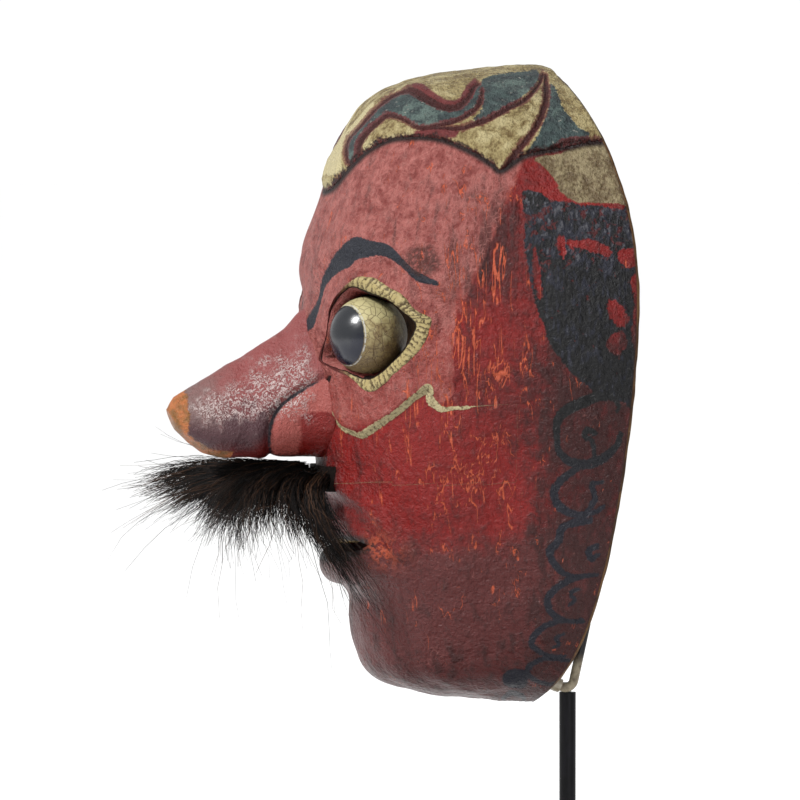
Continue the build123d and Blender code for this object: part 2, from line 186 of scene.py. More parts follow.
# how far the rim lies behind the rod's axis
def rimAt(z):
    share = np.clip(z / mask["height"], 0, 1)
    up = (share - mask["widest"]) / (1 - mask["widest"])
    down = np.clip((mask["widest"] - share) / mask["widest"], 0, 1)
    return mask["templeBack"] - np.where(share > mask["widest"], 16.7 * up**2, 13 * down**2 + 9 * down**8)


# depth of the plain form at a place on the face, seen from the front
def surfaceAt(x, z):
    share = np.clip(np.abs(x) / np.maximum(halfWidthAt(z), 1e-6), 0, 1)
    return rimAt(z) - (rimAt(z) + reachAt(z)) * np.sqrt(1 - share ** mask["bluntness"])


# a grid over the form: s runs up the rim and the middle profile together, by length, and each
# ray leaves the rim's plane between them, swung sideways by alpha, and ends where the form does
def formGrid(s, alpha, scale=(1, 1, 1), centre=0.0):
    heights = mask["height"] * (1 - np.cos(np.pi * np.arange(4001) / 4000)) / 2
    heights = heights[reachAt(heights) + rimAt(heights) > 0.2]
    rimLine = np.stack([halfWidthAt(heights), rimAt(heights), heights])
    profileLine = np.stack([-reachAt(heights), heights])
    ends = []
    for line in (rimLine, profileLine):
        length = np.concatenate([[0], np.cumsum(np.sqrt((np.diff(line, axis=1) ** 2).sum(0)))])
        ends.append(np.interp(s, length / length[-1], heights))
    rimZ, profileZ = ends
    startY = rimAt(rimZ) - mask["edgeRound"] * rise(rimZ, 0, 6) * rise(mask["height"] - rimZ, 0, 4)
    aimY = -reachAt(profileZ) - startY - 0.05
    aimZ = profileZ - rimZ
    size = np.hypot(aimY, aimZ)
    alpha = np.broadcast_to(alpha, np.broadcast(s, alpha).shape)
    side, ahead, up = np.sin(alpha), np.cos(alpha) * aimY / size, np.cos(alpha) * aimZ / size
    near, far = np.zeros(side.shape), np.full(side.shape, 140.0)
    for _ in range(30):
        trial = (near + far) / 2
        x, y, z = trial * side, startY + trial * ahead, rimZ + trial * up
        depth = rimAt(z) + reachAt(z)
        back = np.maximum(0, rimAt(z) - y)
        wide = np.maximum(halfWidthAt(z), 1e-6)
        inside = (np.abs(x) / wide) ** mask["bluntness"] + (back / np.maximum(depth, 1e-6)) ** 2 < 1
        inside &= (z > 0) & (z < mask["height"]) & (depth > 0.1)
        near, far = np.where(inside, trial, near), np.where(inside, far, trial)
    grid = np.stack([near * side, startY + near * ahead, rimZ + near * up], axis=-1)
    return grid * np.array(scale) + np.array([0, 0, centre * (1 - scale[2])])


# unit normals of a grid from its neighbours, turned away from the middle of the head
def gridNormals(grid):
    n = np.cross(np.gradient(grid, axis=1), np.gradient(grid, axis=0))
    size = np.linalg.norm(n, axis=-1, keepdims=True)
    outward = grid - np.array([0, 20.0, mask["height"] / 2])
    outward /= np.linalg.norm(outward, axis=-1, keepdims=True)
    n = np.where(size > 1e-4, n / np.maximum(size, 1e-6), outward)
    return n * np.where((n * outward).sum(-1, keepdims=True) < 0, -1, 1)


# the slanted drawing plane's coordinates of points, both sides of the face alike
def drawn(points):
    return np.stack([lookedFrom[0] * points[:, 1] + lookedFrom[1] * np.abs(points[:, 0]), points[:, 2]],
                    axis=1)


# lifts what lies in the throat notch onto its round roof, which ends in a quarter ball
def cutThroat(points):
    p = points.copy()
    ahead = np.minimum(0, p[:, 1] + mask["notchLength"])
    room = mask["notchRadius"] ** 2 - p[:, 0] ** 2 - ahead**2
    roof = mask["notchCentre"] + np.sqrt(np.maximum(room, 0))
    under = (room > 0) & (p[:, 2] < roof)
    p[under, 2] = roof[under]
    return p


# what is drawn and carved on the face
# places are (along, height) on the slanted drawing plane
bandEdge = [(-76, 153.0), (-71.3, 153.6), (-65.6, 159.3), (-61.2, 163.8), (-56.1, 167.3), (-51, 168.8),
            (-45.3, 169.4), (-39.4, 169.1), (-33.7, 167.3), (-27.7, 164.4), (-23, 161.4), (-20, 159.9),
            (-12.8, 164.4), (-3.3, 166.5), (5.4, 167.9), (14, 168.6)]
eyeRim = [(-73.9, 102.8), (-73.5, 106.1), (-71.8, 110.7), (-70.8, 118.3), (-69.1, 121.2), (-67, 124.5),
          (-64.5, 127), (-61.2, 128.7), (-57, 127.9), (-53.6, 125.8), (-49.9, 123.7), (-47.3, 120.8),
          (-44.4, 118.3), (-40.7, 116.6), (-40.7, 114.9), (-41.5, 112.4), (-42.7, 109), (-45.3, 105.7),
          (-48.6, 102.4), (-52, 99.4), (-55.3, 96.5), (-58.2, 94.4), (-61.2, 95.2), (-62.8, 97.3),
          (-64.9, 99), (-68.7, 100.3), (-71.6, 101.9)]
eyeHole = [(-73.1, 104), (-72, 109.9), (-70.4, 118.3), (-68.3, 121.6), (-66.2, 124.2), (-63.9, 124.9),
           (-61.2, 123.7), (-57.8, 122.7), (-53.6, 121.2), (-50.3, 118.7), (-47.3, 116), (-45.9, 114.1),
           (-46.9, 112), (-48.7, 108.6), (-51.7, 104.8), (-54.8, 101.6), (-57.2, 99.6), (-60, 99),
           (-63.3, 99.6), (-66.2, 100.7), (-69.5, 101.5), (-72.6, 102.8)]
brow = [(-78.3, 111.8), (-77.9, 114.5), (-76.7, 118.3), (-75, 123.3), (-73.3, 128.3), (-70.8, 132.5),
        (-67.4, 136.3), (-64.5, 138.8), (-62, 140), (-59.5, 139.2), (-56.1, 138.6), (-53.2, 137.9),
        (-51.1, 136.3), (-49.4, 134.6), (-47.3, 132.1), (-45.3, 130.4), (-41.9, 128.7), (-38.1, 127),
        (-38.6, 126.1), (-41.9, 126.4), (-45.7, 127.5), (-48.2, 130), (-50.7, 132.3), (-52.8, 133.7),
        (-55.3, 134.6), (-57.8, 134.8), (-60.3, 134.2), (-63.7, 133.3), (-65.3, 131.2), (-69.1, 129.6),
        (-72.5, 126.2), (-74.3, 121.6), (-75.4, 116.6), (-75.7, 113.2), (-77.3, 111.4)]
bagLine = [(-71.4, 89.8), (-70.4, 88.1), (-68.7, 85.6), (-67, 83.5), (-64.5, 82.3), (-61.2, 81.4),
           (-59.1, 82.7), (-56.6, 84.4), (-53.6, 86.4), (-50.7, 88.5), (-48.2, 90.6), (-46.1, 92.7),
           (-43.6, 94.4), (-41.5, 96.1), (-41.1, 94.2), (-40.9, 92.3), (-39.4, 91), (-37.7, 89.8),
           (-34.4, 90), (-29.8, 90.2)]
templeHair = [(-13.9, 152), (-13.4, 153.9), (-8.9, 152.9), (-6.6, 151.6), (-2, 150.7), (5.3, 149.7),
              (14, 148.8),
              (24, 146), (24, 94), (12, 92.6), (8, 93.6), (4.4, 96.8), (-.7, 101.3), (-3.4, 105), (-6.6, 110),
              (-8, 115.5), (-9.3, 117.8), (-12.1, 127.4), (-13.4, 137), (-13.6, 143.8)]
templeGaps = [[(-3.9, 140.6), (-2, 140), (-1.4, 136), (-2.2, 133.2), (-3.2, 136)],
              [(-.7, 139.7), (6, 139.4), (11, 137.4), (11, 134.8), (5, 136.6), (-.4, 137.6)],
              [(14, 136.5), (19, 137), (20, 132), (15, 132.4)],
              [(10.8, 121.9), (14, 121), (17.4, 116.5), (15, 113.6), (11.8, 116.4)],
              [(10.2, 109), (13.4, 112.8), (16, 111.6), (16.6, 107.6), (13, 105.8)],
              [(17.5, 128), (21, 128), (21, 106), (18, 110), (18.6, 120)],
              [(-11, 136.5), (-10, 136), (-8.4, 124), (-9.6, 122.4), (-11, 129)]]
creamPatch = [(-10.6, 163.6), (-8.9, 161.8), (-6.6, 159.7), (-3.8, 156.2), (-3.2, 154), (1.9, 150.5),
              (5.9, 150.6), (14, 150), (24, 150), (24, 170), (3.1, 167.1), (-2.6, 165.4)]
curls = [  # (points, half width at the start, in the middle and at the end)
    ([(-3.9, 80), (-3.9, 86.3), (-.7, 89.9), (4.4, 92.2), (9.4, 93.6), (13, 92.6), (14.2, 90.6),
      (13.6, 89)], .9, 1.7, .5),
    ([(-3.9, 80), (-3.2, 77), (0, 74.1), (5.5, 73.4), (10.3, 75.5), (13.7, 78.9), (14.8, 82.4)], .9, 1.5, .8),
    ([(7.2, 82.6), (4.8, 84), (4.2, 81.6), (6.2, 80.4), (6.9, 78), (6.9, 74.3)], .9, .8, .6),
    ([(2.8, 72.8), (-2.7, 68.6), (-4.8, 64.6), (-2.7, 60.4), (2.1, 58.4), (6.9, 59.1), (10, 61)], 1, 1.3, .6),
    ([(9.5, 68), (6.2, 67.3), (7.3, 63.2), (4.1, 58)], .6, .9, .6),
    ([(6.1, 56.6), (-2, 54.9), (-3.4, 50.8), (-6.1, 47.4), (-4.1, 43.3), (-.7, 40.6), (4, 40)], .8, 1.2, .6),
    ([(8, 49), (5.6, 47.9), (6.2, 45.4), (8.4, 46.4)], .9, 1.1, .7),
    ([(8.3, 40.6), (2.8, 39.9), (-2.7, 37.8), (-6.5, 33.7), (-5.5, 29.6), (-.7, 26.8), (4, 27)], .6, 1.1, .6),
    ([(2.6, 36.4), (.2, 35.4), (1.4, 33), (-.6, 31.6)], .5, .7, .4),
    ([(4.1, 26.2), (-2.7, 26.8), (-8.2, 24.8), (-11.3, 20.7), (-9.6, 17.9), (-5.5, 15.9), (-1, 16)], .6,
     1.0, .5),
    ([(-1.6, 22.8), (-4, 21.6), (-3, 19.6), (-5, 18.6)], .5, .7, .4),
    ([(0, 14.5), (-7.5, 15.2), (-12.3, 11.8), (-10.3, 8.4), (-5.5, 7), (-3, 8.4)], .6, .9, .5),
    ([(-19.4, 2.4), (-17, 4), (-13.6, 3), (-13.4, 1.4)], .7, .9, .6),
]
chinPatch = [(-19, 11), (-13, 11.5), (-12.6, 6.2), (-16, 5.6), (-19.4, 7)]
smileFold = [(-71, 67.1), (-64, 63.4), (-58.5, 59.1), (-53.6, 53), (-50.7, 47.7)]
noseSeam = [(-70.6, 98.6), (-71.8, 96), (-71.2, 92.6), (-72.4, 90)]

# head band
waveTop = [(-64.4, 159), (-64.9, 163), (-64.3, 167.6), (-61.4, 171.6), (-57.4, 176.8), (-52.9, 180.8),
           (-49.4, 182.5), (-46.6, 183.1), (-43.2, 181.3), (-39.7, 179.1), (-36.3, 177.9), (-32.9, 178.2),
           (-30, 180.8), (-28.3, 184.2), (-26.8, 185.2)]
waveBottom = [(-63.1, 158.6), (-61.9, 163.7), (-60.6, 167.6), (-58.6, 170.5), (-55.7, 173.4), (-52.9, 175.4),
              (-48.9, 174.2), (-45.4, 172.2), (-43.2, 171.4), (-37.5, 172.5), (-32.9, 173.9), (-28.9, 176.2),
              (-26.3, 179.3), (-25.8, 183)]
leafLeft = [(-43.2, 171.1), (-37.5, 171.6), (-32.3, 171.4), (-28.3, 172.5), (-23.8, 174.2), (-18.1, 177.4),
            (-12.3, 180.8), (-8.9, 185.3), (-7.6, 188)]
leafRight = [(-20.6, 159), (-16.9, 163.1), (-13.5, 167.1), (-10.1, 171.6), (-7.8, 176.8), (-6.9, 181.3),
             (-6.9, 187.5)]
leafFoot = [(-14.4, 163.6), (-12.9, 164.2), (-5.5, 165.7), (-1.5, 167.6), (3.1, 167.9), (8, 168.4)]
bandGrooves = [(waveTop, [(0, .3), (.2, .4), (.5, .55), (.62, 1.1), (.8, .9), (1, .4)]),
               (waveBottom, [(0, .3), (.3, .6), (.5, .4), (.8, .5), (1, .2)]),
               (leafLeft, [(0, .3), (.4, .6), (.8, .5), (1, .3)]),
               (leafRight, [(0, .2), (.3, .75), (.8, .7), (1, .4)]),
               (leafFoot, [(0, .2), (.5, .4), (1, .3)])]
bandGreens = [waveTop + waveBottom[::-1],
              [(-25.5, 186.5), (-16, 188.4), (-8.9, 188.4), (-10.1, 184.2), (-14.6, 180.2), (-20.9, 176.2),
               (-26, 173.4), (-29, 172.8), (-26, 176.8), (-25.8, 181.3)],
              [(-5.5, 186.5), (-3.8, 182.5), (-2.1, 177.4), (1.9, 172.2), (5.9, 168.8), (1.9, 167.6),
               (-5.5, 165.4), (-12.3, 164.4), (-9.5, 169.4), (-6.6, 176.8)]]
bandCreams = [[(-67.7, 165.4), (-63.9, 171.6), (-58.4, 178.9), (-57.6, 178), (-62.6, 170.5), (-65.6, 165),
               (-66.6, 159), (-70.4, 157.6)]]
bandPinks = [[(-46.6, 184.6), (-43.4, 184.8), (-40.9, 183.1), (-36.3, 180.2), (-32.9, 180.2), (-30.6, 184.2),
              (-27.4, 186.6), (-28.6, 181), (-32.9, 177.4), (-38, 177.4), (-43, 180.6)],
             [(-46, 169.6), (-43, 171.2), (-37, 171.6), (-32.6, 170.8), (-34, 168.4), (-40, 169.4)]]


# meshes
# the loop of vertex numbers round a grid of rows and columns
def borderOf(rows, columns):
    number = np.arange((rows + 1) * (columns + 1)).reshape(rows + 1, columns + 1)
    return np.concatenate([number[0, :-1], number[:-1, -1], number[-1, :0:-1], number[:0:-1, 0]])


# the four-sided faces of a grid; turned faces look the other way
def gridFaces(rows, columns, first=0, turned=False):
    number = first + np.arange((rows + 1) * (columns + 1)).reshape(rows + 1, columns + 1)
    corners = [number[:-1, :-1], number[:-1, 1:], number[1:, 1:], number[1:, :-1]]
    faces = np.stack(corners[::-1] if turned else corners, axis=-1)
    return faces.reshape(-1, 4).tolist()


# a wall closed all round: an outer sheet, rings of points over its edge, and an inner sheet of half
# as many rows and columns, joined by faces that take two outer edges to one inner edge
def closedWall(outer, rings, inner):
    rows, columns = outer.shape[0] - 1, outer.shape[1] - 1
    points = [outer.reshape(-1, 3)]
    faces = gridFaces(rows, columns)
    loop = borderOf(rows, columns)
    first = len(points[0])
    for ring in rings:
        points.append(ring)
        newLoop = first + np.arange(len(ring))
        quads = np.stack([loop, newLoop, np.roll(newLoop, -1), np.roll(loop, -1)], axis=-1)
        faces += quads.tolist()
        loop, first = newLoop, first + len(ring)
    points.append(inner.reshape(-1, 3))
    faces += gridFaces(rows // 2, columns // 2, first, turned=True)
    innerLoop = first + borderOf(rows // 2, columns // 2)
    five = [loop[::2], innerLoop, np.roll(innerLoop, -1), np.roll(loop[::2], -1), loop[1::2]]
    faces += np.stack(five, axis=-1).tolist()
    return np.vstack(points), faces


# puts millimetre points and faces into a new object, with one float attribute for each named field
def makePiece(name, points, faces, body, fields=None):
    mesh = bpy.data.meshes.new(name)
    mesh.from_pydata((points * mm + origin).tolist(), [], faces)
    for word, values in (fields or {}).items():
        layer = mesh.attributes.new(word, "FLOAT", "POINT")
        layer.data.foreach_set("value", np.asarray(values, np.float32))
    mesh.polygons.foreach_set("use_smooth", np.ones(len(mesh.polygons), bool))
    mesh.update()
    piece = bpy.data.objects.new(name, mesh)
    bpy.context.scene.collection.objects.link(piece)
    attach(piece, body)
    return piece


# outward normals for a closed mesh
def turnOutward(piece):
    work = bmesh.new()
    work.from_mesh(piece.data)
    bmesh.ops.recalc_face_normals(work, faces=work.faces)
    work.to_mesh(piece.data)
    work.free()


# materials
# a socket with arithmetic: each operator adds one Math node
class Link:
    def __init__(self, tree, socket):
        self.tree, self.socket = tree, socket

    # one Math node: this value first, then the others, each a number or a link
    def math(self, operation, *others):
        node = self.tree.nodes.new("ShaderNodeMath")
        node.operation = operation
        for place, value in enumerate((self, *others)):
            if isinstance(value, Link):
                self.tree.links.new(value.socket, node.inputs[place])
            else:
                node.inputs[place].default_value = value
        return Link(self.tree, node.outputs[0])

    def __add__(self, other):
        return self.math("ADD", other)

    def __mul__(self, other):
        return self.math("MULTIPLY", other)

    def __sub__(self, other):
        return self.math("SUBTRACT", other)

    def __rsub__(self, other):
        return self.math("MULTIPLY_ADD", -1.0, other)

    __radd__ = __add__
    __rmul__ = __mul__


# one finish: a material, its shader and the nodes that feed it
class Finish:
    # a new material, its shader's plain values, and the object's own coordinates
    def __init__(self, name, roughness, specular, metallic=0.0):
        self.material = bpy.data.materials.new(name)
        self.material.use_nodes = True
        self.tree = self.material.node_tree
        self.shader = self.tree.nodes["Principled BSDF"]
        for word, value in (("Roughness", roughness), ("Specular IOR Level", specular),
                            ("Metallic", metallic)):
            self.shader.inputs[word].default_value = value
        self.place = self.add("ShaderNodeTexCoord", output="Object")

    # any node: its type, its settings first (with a ramp's stops), then its sockets' values and links
    def add(self, kind, settings=None, sockets=None, output=0):
        node = self.tree.nodes.new(kind)
        for word, value in (settings or {}).items():
            if word == "stops":
                ramp = node.color_ramp
                while len(ramp.elements) < len(value):
                    ramp.elements.new(0.5)
                for element, (position, color) in zip(ramp.elements, value):
                    element.position, element.color = position, (*color[:3], 1)
            else:
                setattr(node, word, value)
        for word, value in (sockets or {}).items():
            if isinstance(value, Link):
                self.tree.links.new(value.socket, node.inputs[word])
            else:
                node.inputs[word].default_value = value
        return Link(self.tree, node.outputs[output])

    # links a varying value to the shader's socket of that name
    def feed(self, word, value):
        self.tree.links.new(value.socket, self.shader.inputs[word])

    # fractal noise from 0 to 1 on the object's own coordinates, its cells about size millimetres
    def noise(self, size, detail=3, rough=0.55, stretch=(1, 1, 1), warp=0.0):
        scaled = self.add("ShaderNodeMapping", {}, {"Vector": self.place, "Scale": stretch})
        sockets = {"Vector": scaled, "Scale": 1000 / size, "Detail": detail, "Roughness": rough,
                   "Distortion": warp}
        return self.add("ShaderNodeTexNoise", {"noise_dimensions": "3D"}, sockets, "Fac")

    # cracks: distance to the walls between cells about size millimetres across
    def cells(self, size):
        sockets = {"Vector": self.place, "Scale": 1000 / size}
        return self.add("ShaderNodeTexVoronoi", {"feature": "DISTANCE_TO_EDGE"}, sockets, "Distance")

    # the value that the mesh carries under that name
    def field(self, word):
        return self.add("ShaderNodeAttribute", {"attribute_name": word}, {}, "Fac")

    # 1 below the level and 0 above it, over a band of the given width
    def below(self, value, level, width):
        return self.add("ShaderNodeMapRange", {"interpolation_type": "SMOOTHSTEP"},
                        {"Value": value, "From Min": level + width / 2, "From Max": level - width / 2})

    # 0 below the level and 1 above it, over a band of the given width
    def above(self, value, level, width):
        return self.add("ShaderNodeMapRange", {"interpolation_type": "SMOOTHSTEP"},
                        {"Value": value, "From Min": level - width / 2, "From Max": level + width / 2})

    # first * (1 - amount) + second * amount
    def mix(self, amount, first, second):
        settings = {"data_type": "RGBA", "blend_type": "MIX", "clamp_factor": True}
        return self.add("ShaderNodeMix", settings, {0: amount, 6: first, 7: second}, 2)

    # bump from a height in millimetres
    def bump(self, height, strength=1.0):
        sockets = {"Height": height, "Distance": mm, "Strength": strength}
        self.feed("Normal", self.add("ShaderNodeBump", {}, sockets, "Normal"))


# screen colour to the linear colour that shaders take, kept dark because the studio is bright
def tint(red, green, blue):
    linear = [v / 255 / 12.92 if v <= 10 else ((v / 255 + 0.055) / 1.055) ** 2.4 for v in (red, green, blue)]
    return (*(v * paintStrength for v in linear), 1)


# red ground; each colour is laid over the last where its field plus noise passes a level, some of
# them painted shade by the rim, the jaw, the band's edge and the mouth's slot, and the relief is the
# noises' sum, lower in flakes and seams and higher on the gold line
def paintedFace():
    colors = {
        "red": tint(146, 15, 9), "deepRed": tint(90, 10, 8), "rose": tint(162, 68, 60),
        "bloom": tint(206, 134, 126), "maroon": tint(104, 42, 40), "orange": tint(222, 100, 62),
        "dark": tint(34, 12, 10), "black": tint(10, 9, 13), "blueBlack": tint(38, 40, 54),
        "brow": tint(36, 40, 48), "hairGrey": tint(92, 92, 98), "cream": tint(164, 148, 112),
        "tan": tint(112, 92, 62), "gold": tint(208, 192, 146), "curlGrey": tint(30, 30, 44),
        "edge": tint(70, 34, 26),
    }
    f = Finish("painted_face", roughness=0.42, specular=0.11)
    fine, mid, broad = f.noise(1.1, 4), f.noise(5, 4), f.noise(22, 3)
    streak = f.noise(3.2, 4, stretch=(1, 1, 0.16), warp=0.4)
    rose, maroon = f.field("rose"), f.field("maroon")
    chips = f.noise(2.1, 4, 0.65, warp=0.6)
    # deep red where broad noise is high, and more of it as painted shade where the "dark" field is high
    color = f.mix(f.above(broad * 0.7 + mid * 0.5 + chips * 0.3 + f.field("dark") * 0.4, 0.88, 0.4),
                  colors["red"],
                  colors["deepRed"])
    color = f.mix(f.above(rose + (chips - 0.5) * 0.9 + (mid - 0.5) * 0.6, 0.42, 0.5) * 0.95, color,
                  colors["rose"])
    color = f.mix(f.above(rose * 0.5 + chips * 0.6 + mid * 0.35, 0.92, 0.3) * 0.5, color, colors["bloom"])
    color = f.mix(f.above(rose * 0.3 + (1 - chips) * 0.6 + (1 - mid) * 0.4, 0.82, 0.25) * 0.5, color,
                  colors["deepRed"])
    color = f.mix(f.above(maroon + (chips - 0.5) * 0.6 + (mid - 0.5) * 0.5, 0.5, 0.7), color,
                  colors["maroon"])
    # dark streaks by stretched noise, more of them as painted shade where the "dark" field is high
    color = f.mix(f.above(streak + chips * 0.4 + f.field("dark") * 0.35, 0.86, 0.3) * 0.6, color,
                  colors["dark"])
    # short flaked cracks that run with the grain: where stretched noise crosses its middle value
    cracksHere = f.field("cracks")
    flaked = f.below((f.noise(7, 3, 0.6, (1, 1, 0.09), 0.5) - 0.5).math("ABSOLUTE") + (fine - 0.5) * 0.02,
                     0.009, 0.01)
    flaked = flaked * f.above(f.noise(6, 2, stretch=(1, 1, 0.4)) + cracksHere * 0.24, 0.66, 0.05)
    flakedAlong = f.below((f.noise(3.4, 3, 0.6, (1, 1, 0.1), 0.4) - 0.5).math("ABSOLUTE")
                          + (fine - 0.5) * 0.02, 0.012, 0.014)
    flakedAlong = flakedAlong * f.above(f.noise(4.6, 2, stretch=(1, 1, 0.35)) + cracksHere * 0.22, 0.68, 0.05)
    flakes = flaked.math("MAXIMUM", flakedAlong)
    color = f.mix(flakes * 0.85, color, colors["orange"])
    pale = f.below(f.cells(1.6), 0.05, 0.06) * f.above(mid + rose * 0.25, 0.66, 0.1)
    color = f.mix(pale * 0.35, color, colors["bloom"])
    # temple hair, with lighter brush hairs, and the cream patch above it
    ragged = (fine - 0.5) * 2.2 + (mid - 0.5) * 2.4
    hair = f.below(f.field("temple") + ragged, 0.0, 0.5)
    brush = f.noise(1.3, 4, stretch=(1, 1, 0.35))
    faded = f.field("faded")
    hairColor = f.mix(f.above(brush + (mid - 0.5) * 0.6 + faded * 0.12, 0.6, 0.2), colors["black"],
                      colors["blueBlack"])
    hairColor = f.mix(f.above(brush * 0.7 + fine * 0.4 + faded * 0.1, 0.72, 0.06) * 0.8, hairColor,
                      colors["hairGrey"])
    hairColor = f.mix(f.above(f.noise(2.4, 4, warp=0.8) + faded * 0.1, 0.68, 0.05) * 0.8, hairColor,
                      colors["deepRed"])
    color = f.mix(hair, color, hairColor)
    cream = f.below(f.field("cream") + ragged * 0.6, 0.0, 0.5)
    creamColor = f.mix(f.above(mid * 0.6 + fine * 0.5, 0.55, 0.2), colors["tan"], colors["cream"])
    color = f.mix(cream, color, creamColor)
    # curls, brow, chin patch
    worn = f.above(fine * 0.6 + mid * 0.5, 0.36, 0.08)
    curl = f.below(f.field("curls") + (fine - 0.5) * 1.3, 0.0, 0.4) * worn
    color = f.mix(curl, color, f.mix(f.field("fadeDown"), colors["black"], colors["curlGrey"]))
    browPaint = f.below(f.field("brow") + (fine - 0.5) * 0.9, 0.0, 0.35)
    color = f.mix(browPaint * f.above(fine + mid, 0.62, 0.1), color,
                  f.mix(mid, colors["brow"], colors["blueBlack"]))
    smudge = f.below(f.field("smudge") + (mid - 0.5) * 5, 0.0, 3.0) * f.above(fine, 0.42, 0.25)
    color = f.mix(smudge * 0.75, color, colors["edge"])
    # the gold line under the eye, and the dark red step over it
    side = f.field("bagSide")
    width = f.field("bagWidth") + (fine - 0.5) * 0.9
    gold = f.below(side.math("ABSOLUTE") - width, 0.0, 0.25)
    color = f.mix(gold, color, f.mix(f.above(fine, 0.42, 0.2), colors["tan"], colors["gold"]))
    seam = f.below(f.field("seam") + (fine - 0.5) * 0.5, 0.35, 0.4)
    color = f.mix(seam, color, colors["dark"])
    # painted shadow: a dark strip on the face along the band's lower edge
    color = f.mix(f.below(f.field("toBand"), 1.2, 1.6), color, colors["dark"])
    color = f.mix(f.field("rimEdge"), color, f.mix(fine, colors["edge"], colors["dark"]))
    # painted shade on the lips at the edge of the mouth's slot
    color = f.mix(f.field("mouthDark"), color, colors["dark"])
    color = f.mix(f.field("mouthWorn") * f.above(fine + mid, 1.0, 0.15) * 0.8, color, colors["orange"])
    f.feed("Base Color", color)
    f.feed("Roughness", 0.34 + mid * 0.22 + rose * 0.1 + hair * 0.08)
    relief = fine * 0.8 + mid * 1.2 + chips * 1.3 + f.noise(0.45, 3) * 0.2 + streak * 0.8
    relief = relief - flakes * 0.3 + gold * 0.3 - seam * 0.5 + hair * brush * 0.2
    relief = relief - f.below(f.cells(1.6), 0.05, 0.08) * 0.08 * rose
    f.bump(relief, 0.9)
    return f.material


# gold ground, then green, pink and cream leaves, dark grooves with a pink halo, and painted shadow along the
# lower ledge
def paintedBand():
    colors = {
        "gold": tint(186, 168, 116), "goldDark": tint(120, 96, 52), "pale": tint(222, 208, 160),
        "green": tint(74, 92, 90), "greenDark": tint(48, 60, 62), "greenPale": tint(126, 146, 136),
        "groove": tint(92, 22, 20), "pink": tint(140, 62, 62), "dark": tint(40, 16, 12),
        "bloom": tint(206, 200, 186),
    }
    f = Finish("painted_head_band", roughness=0.5, specular=0.11)
    fine, mid, broad = f.noise(1.0, 4), f.noise(4, 4), f.noise(16, 3)
    color = f.mix(f.above(mid * 0.7 + fine * 0.5, 0.56, 0.3), colors["goldDark"], colors["gold"])
    color = f.mix(f.above(broad * 0.7 + mid * 0.5, 0.66, 0.2) * 0.6, color, colors["pale"])
    specks = f.above(f.noise(0.7, 2), 0.62, 0.08)
    color = f.mix(specks * 0.35, color, colors["goldDark"])
    green = f.below(f.field("green") + (fine - 0.5) * 1.4 + (mid - 0.5) * 1.2, 0.0, 0.45)
    greenColor = f.mix(f.above(mid, 0.5, 0.3), colors["greenDark"], colors["green"])
    greenColor = f.mix(f.above(broad + fine * 0.4, 0.78, 0.16) * 0.55, greenColor, colors["greenPale"])
    greenColor = f.mix(f.above(f.noise(1.4, 4), 0.66, 0.06) * 0.5, greenColor, colors["bloom"])
    color = f.mix(green, color, greenColor)
    color = f.mix(f.below(f.field("pinks") + (fine - 0.5), 0.0, 0.6), color,
                  f.mix(mid, colors["groove"], colors["pink"]))
    color = f.mix(f.below(f.field("creams") + (fine - 0.5) * 0.8, 0.0, 0.4), color, colors["pale"])
    groove = f.field("groove")
    halo = f.below(groove + (fine - 0.5) * 1.2 + (mid - 0.5) * 1.2, 0.55, 0.5)
    color = f.mix(halo * 0.75, color, f.mix(mid, colors["groove"], colors["pink"]))
    color = f.mix(f.below(groove + (fine - 0.5) * 0.7, 0.05, 0.4), color,
                  f.mix(mid, colors["dark"], colors["groove"]))
    # painted shadow along the band's lower ledge, dark to red
    ledge = f.below(f.field("ledge") + (fine - 0.5) * 1.2 + (mid - 0.5) * 1.6, 0.7, 0.7)
    color = f.mix(ledge, color, f.mix(f.above(fine, 0.5, 0.2), colors["dark"], colors["groove"]))
    f.feed("Base Color", color)
    f.feed("Roughness", 0.42 + mid * 0.25)
    relief = fine * 0.9 + mid * 1.3 + f.noise(0.5, 2) * 0.3 + f.noise(2.0, 4, 0.65, warp=0.8) * 1.2
    relief = relief - f.below(groove, 0.2, 0.8) * 0.3
    f.bump(relief, 0.8)
    return f.material
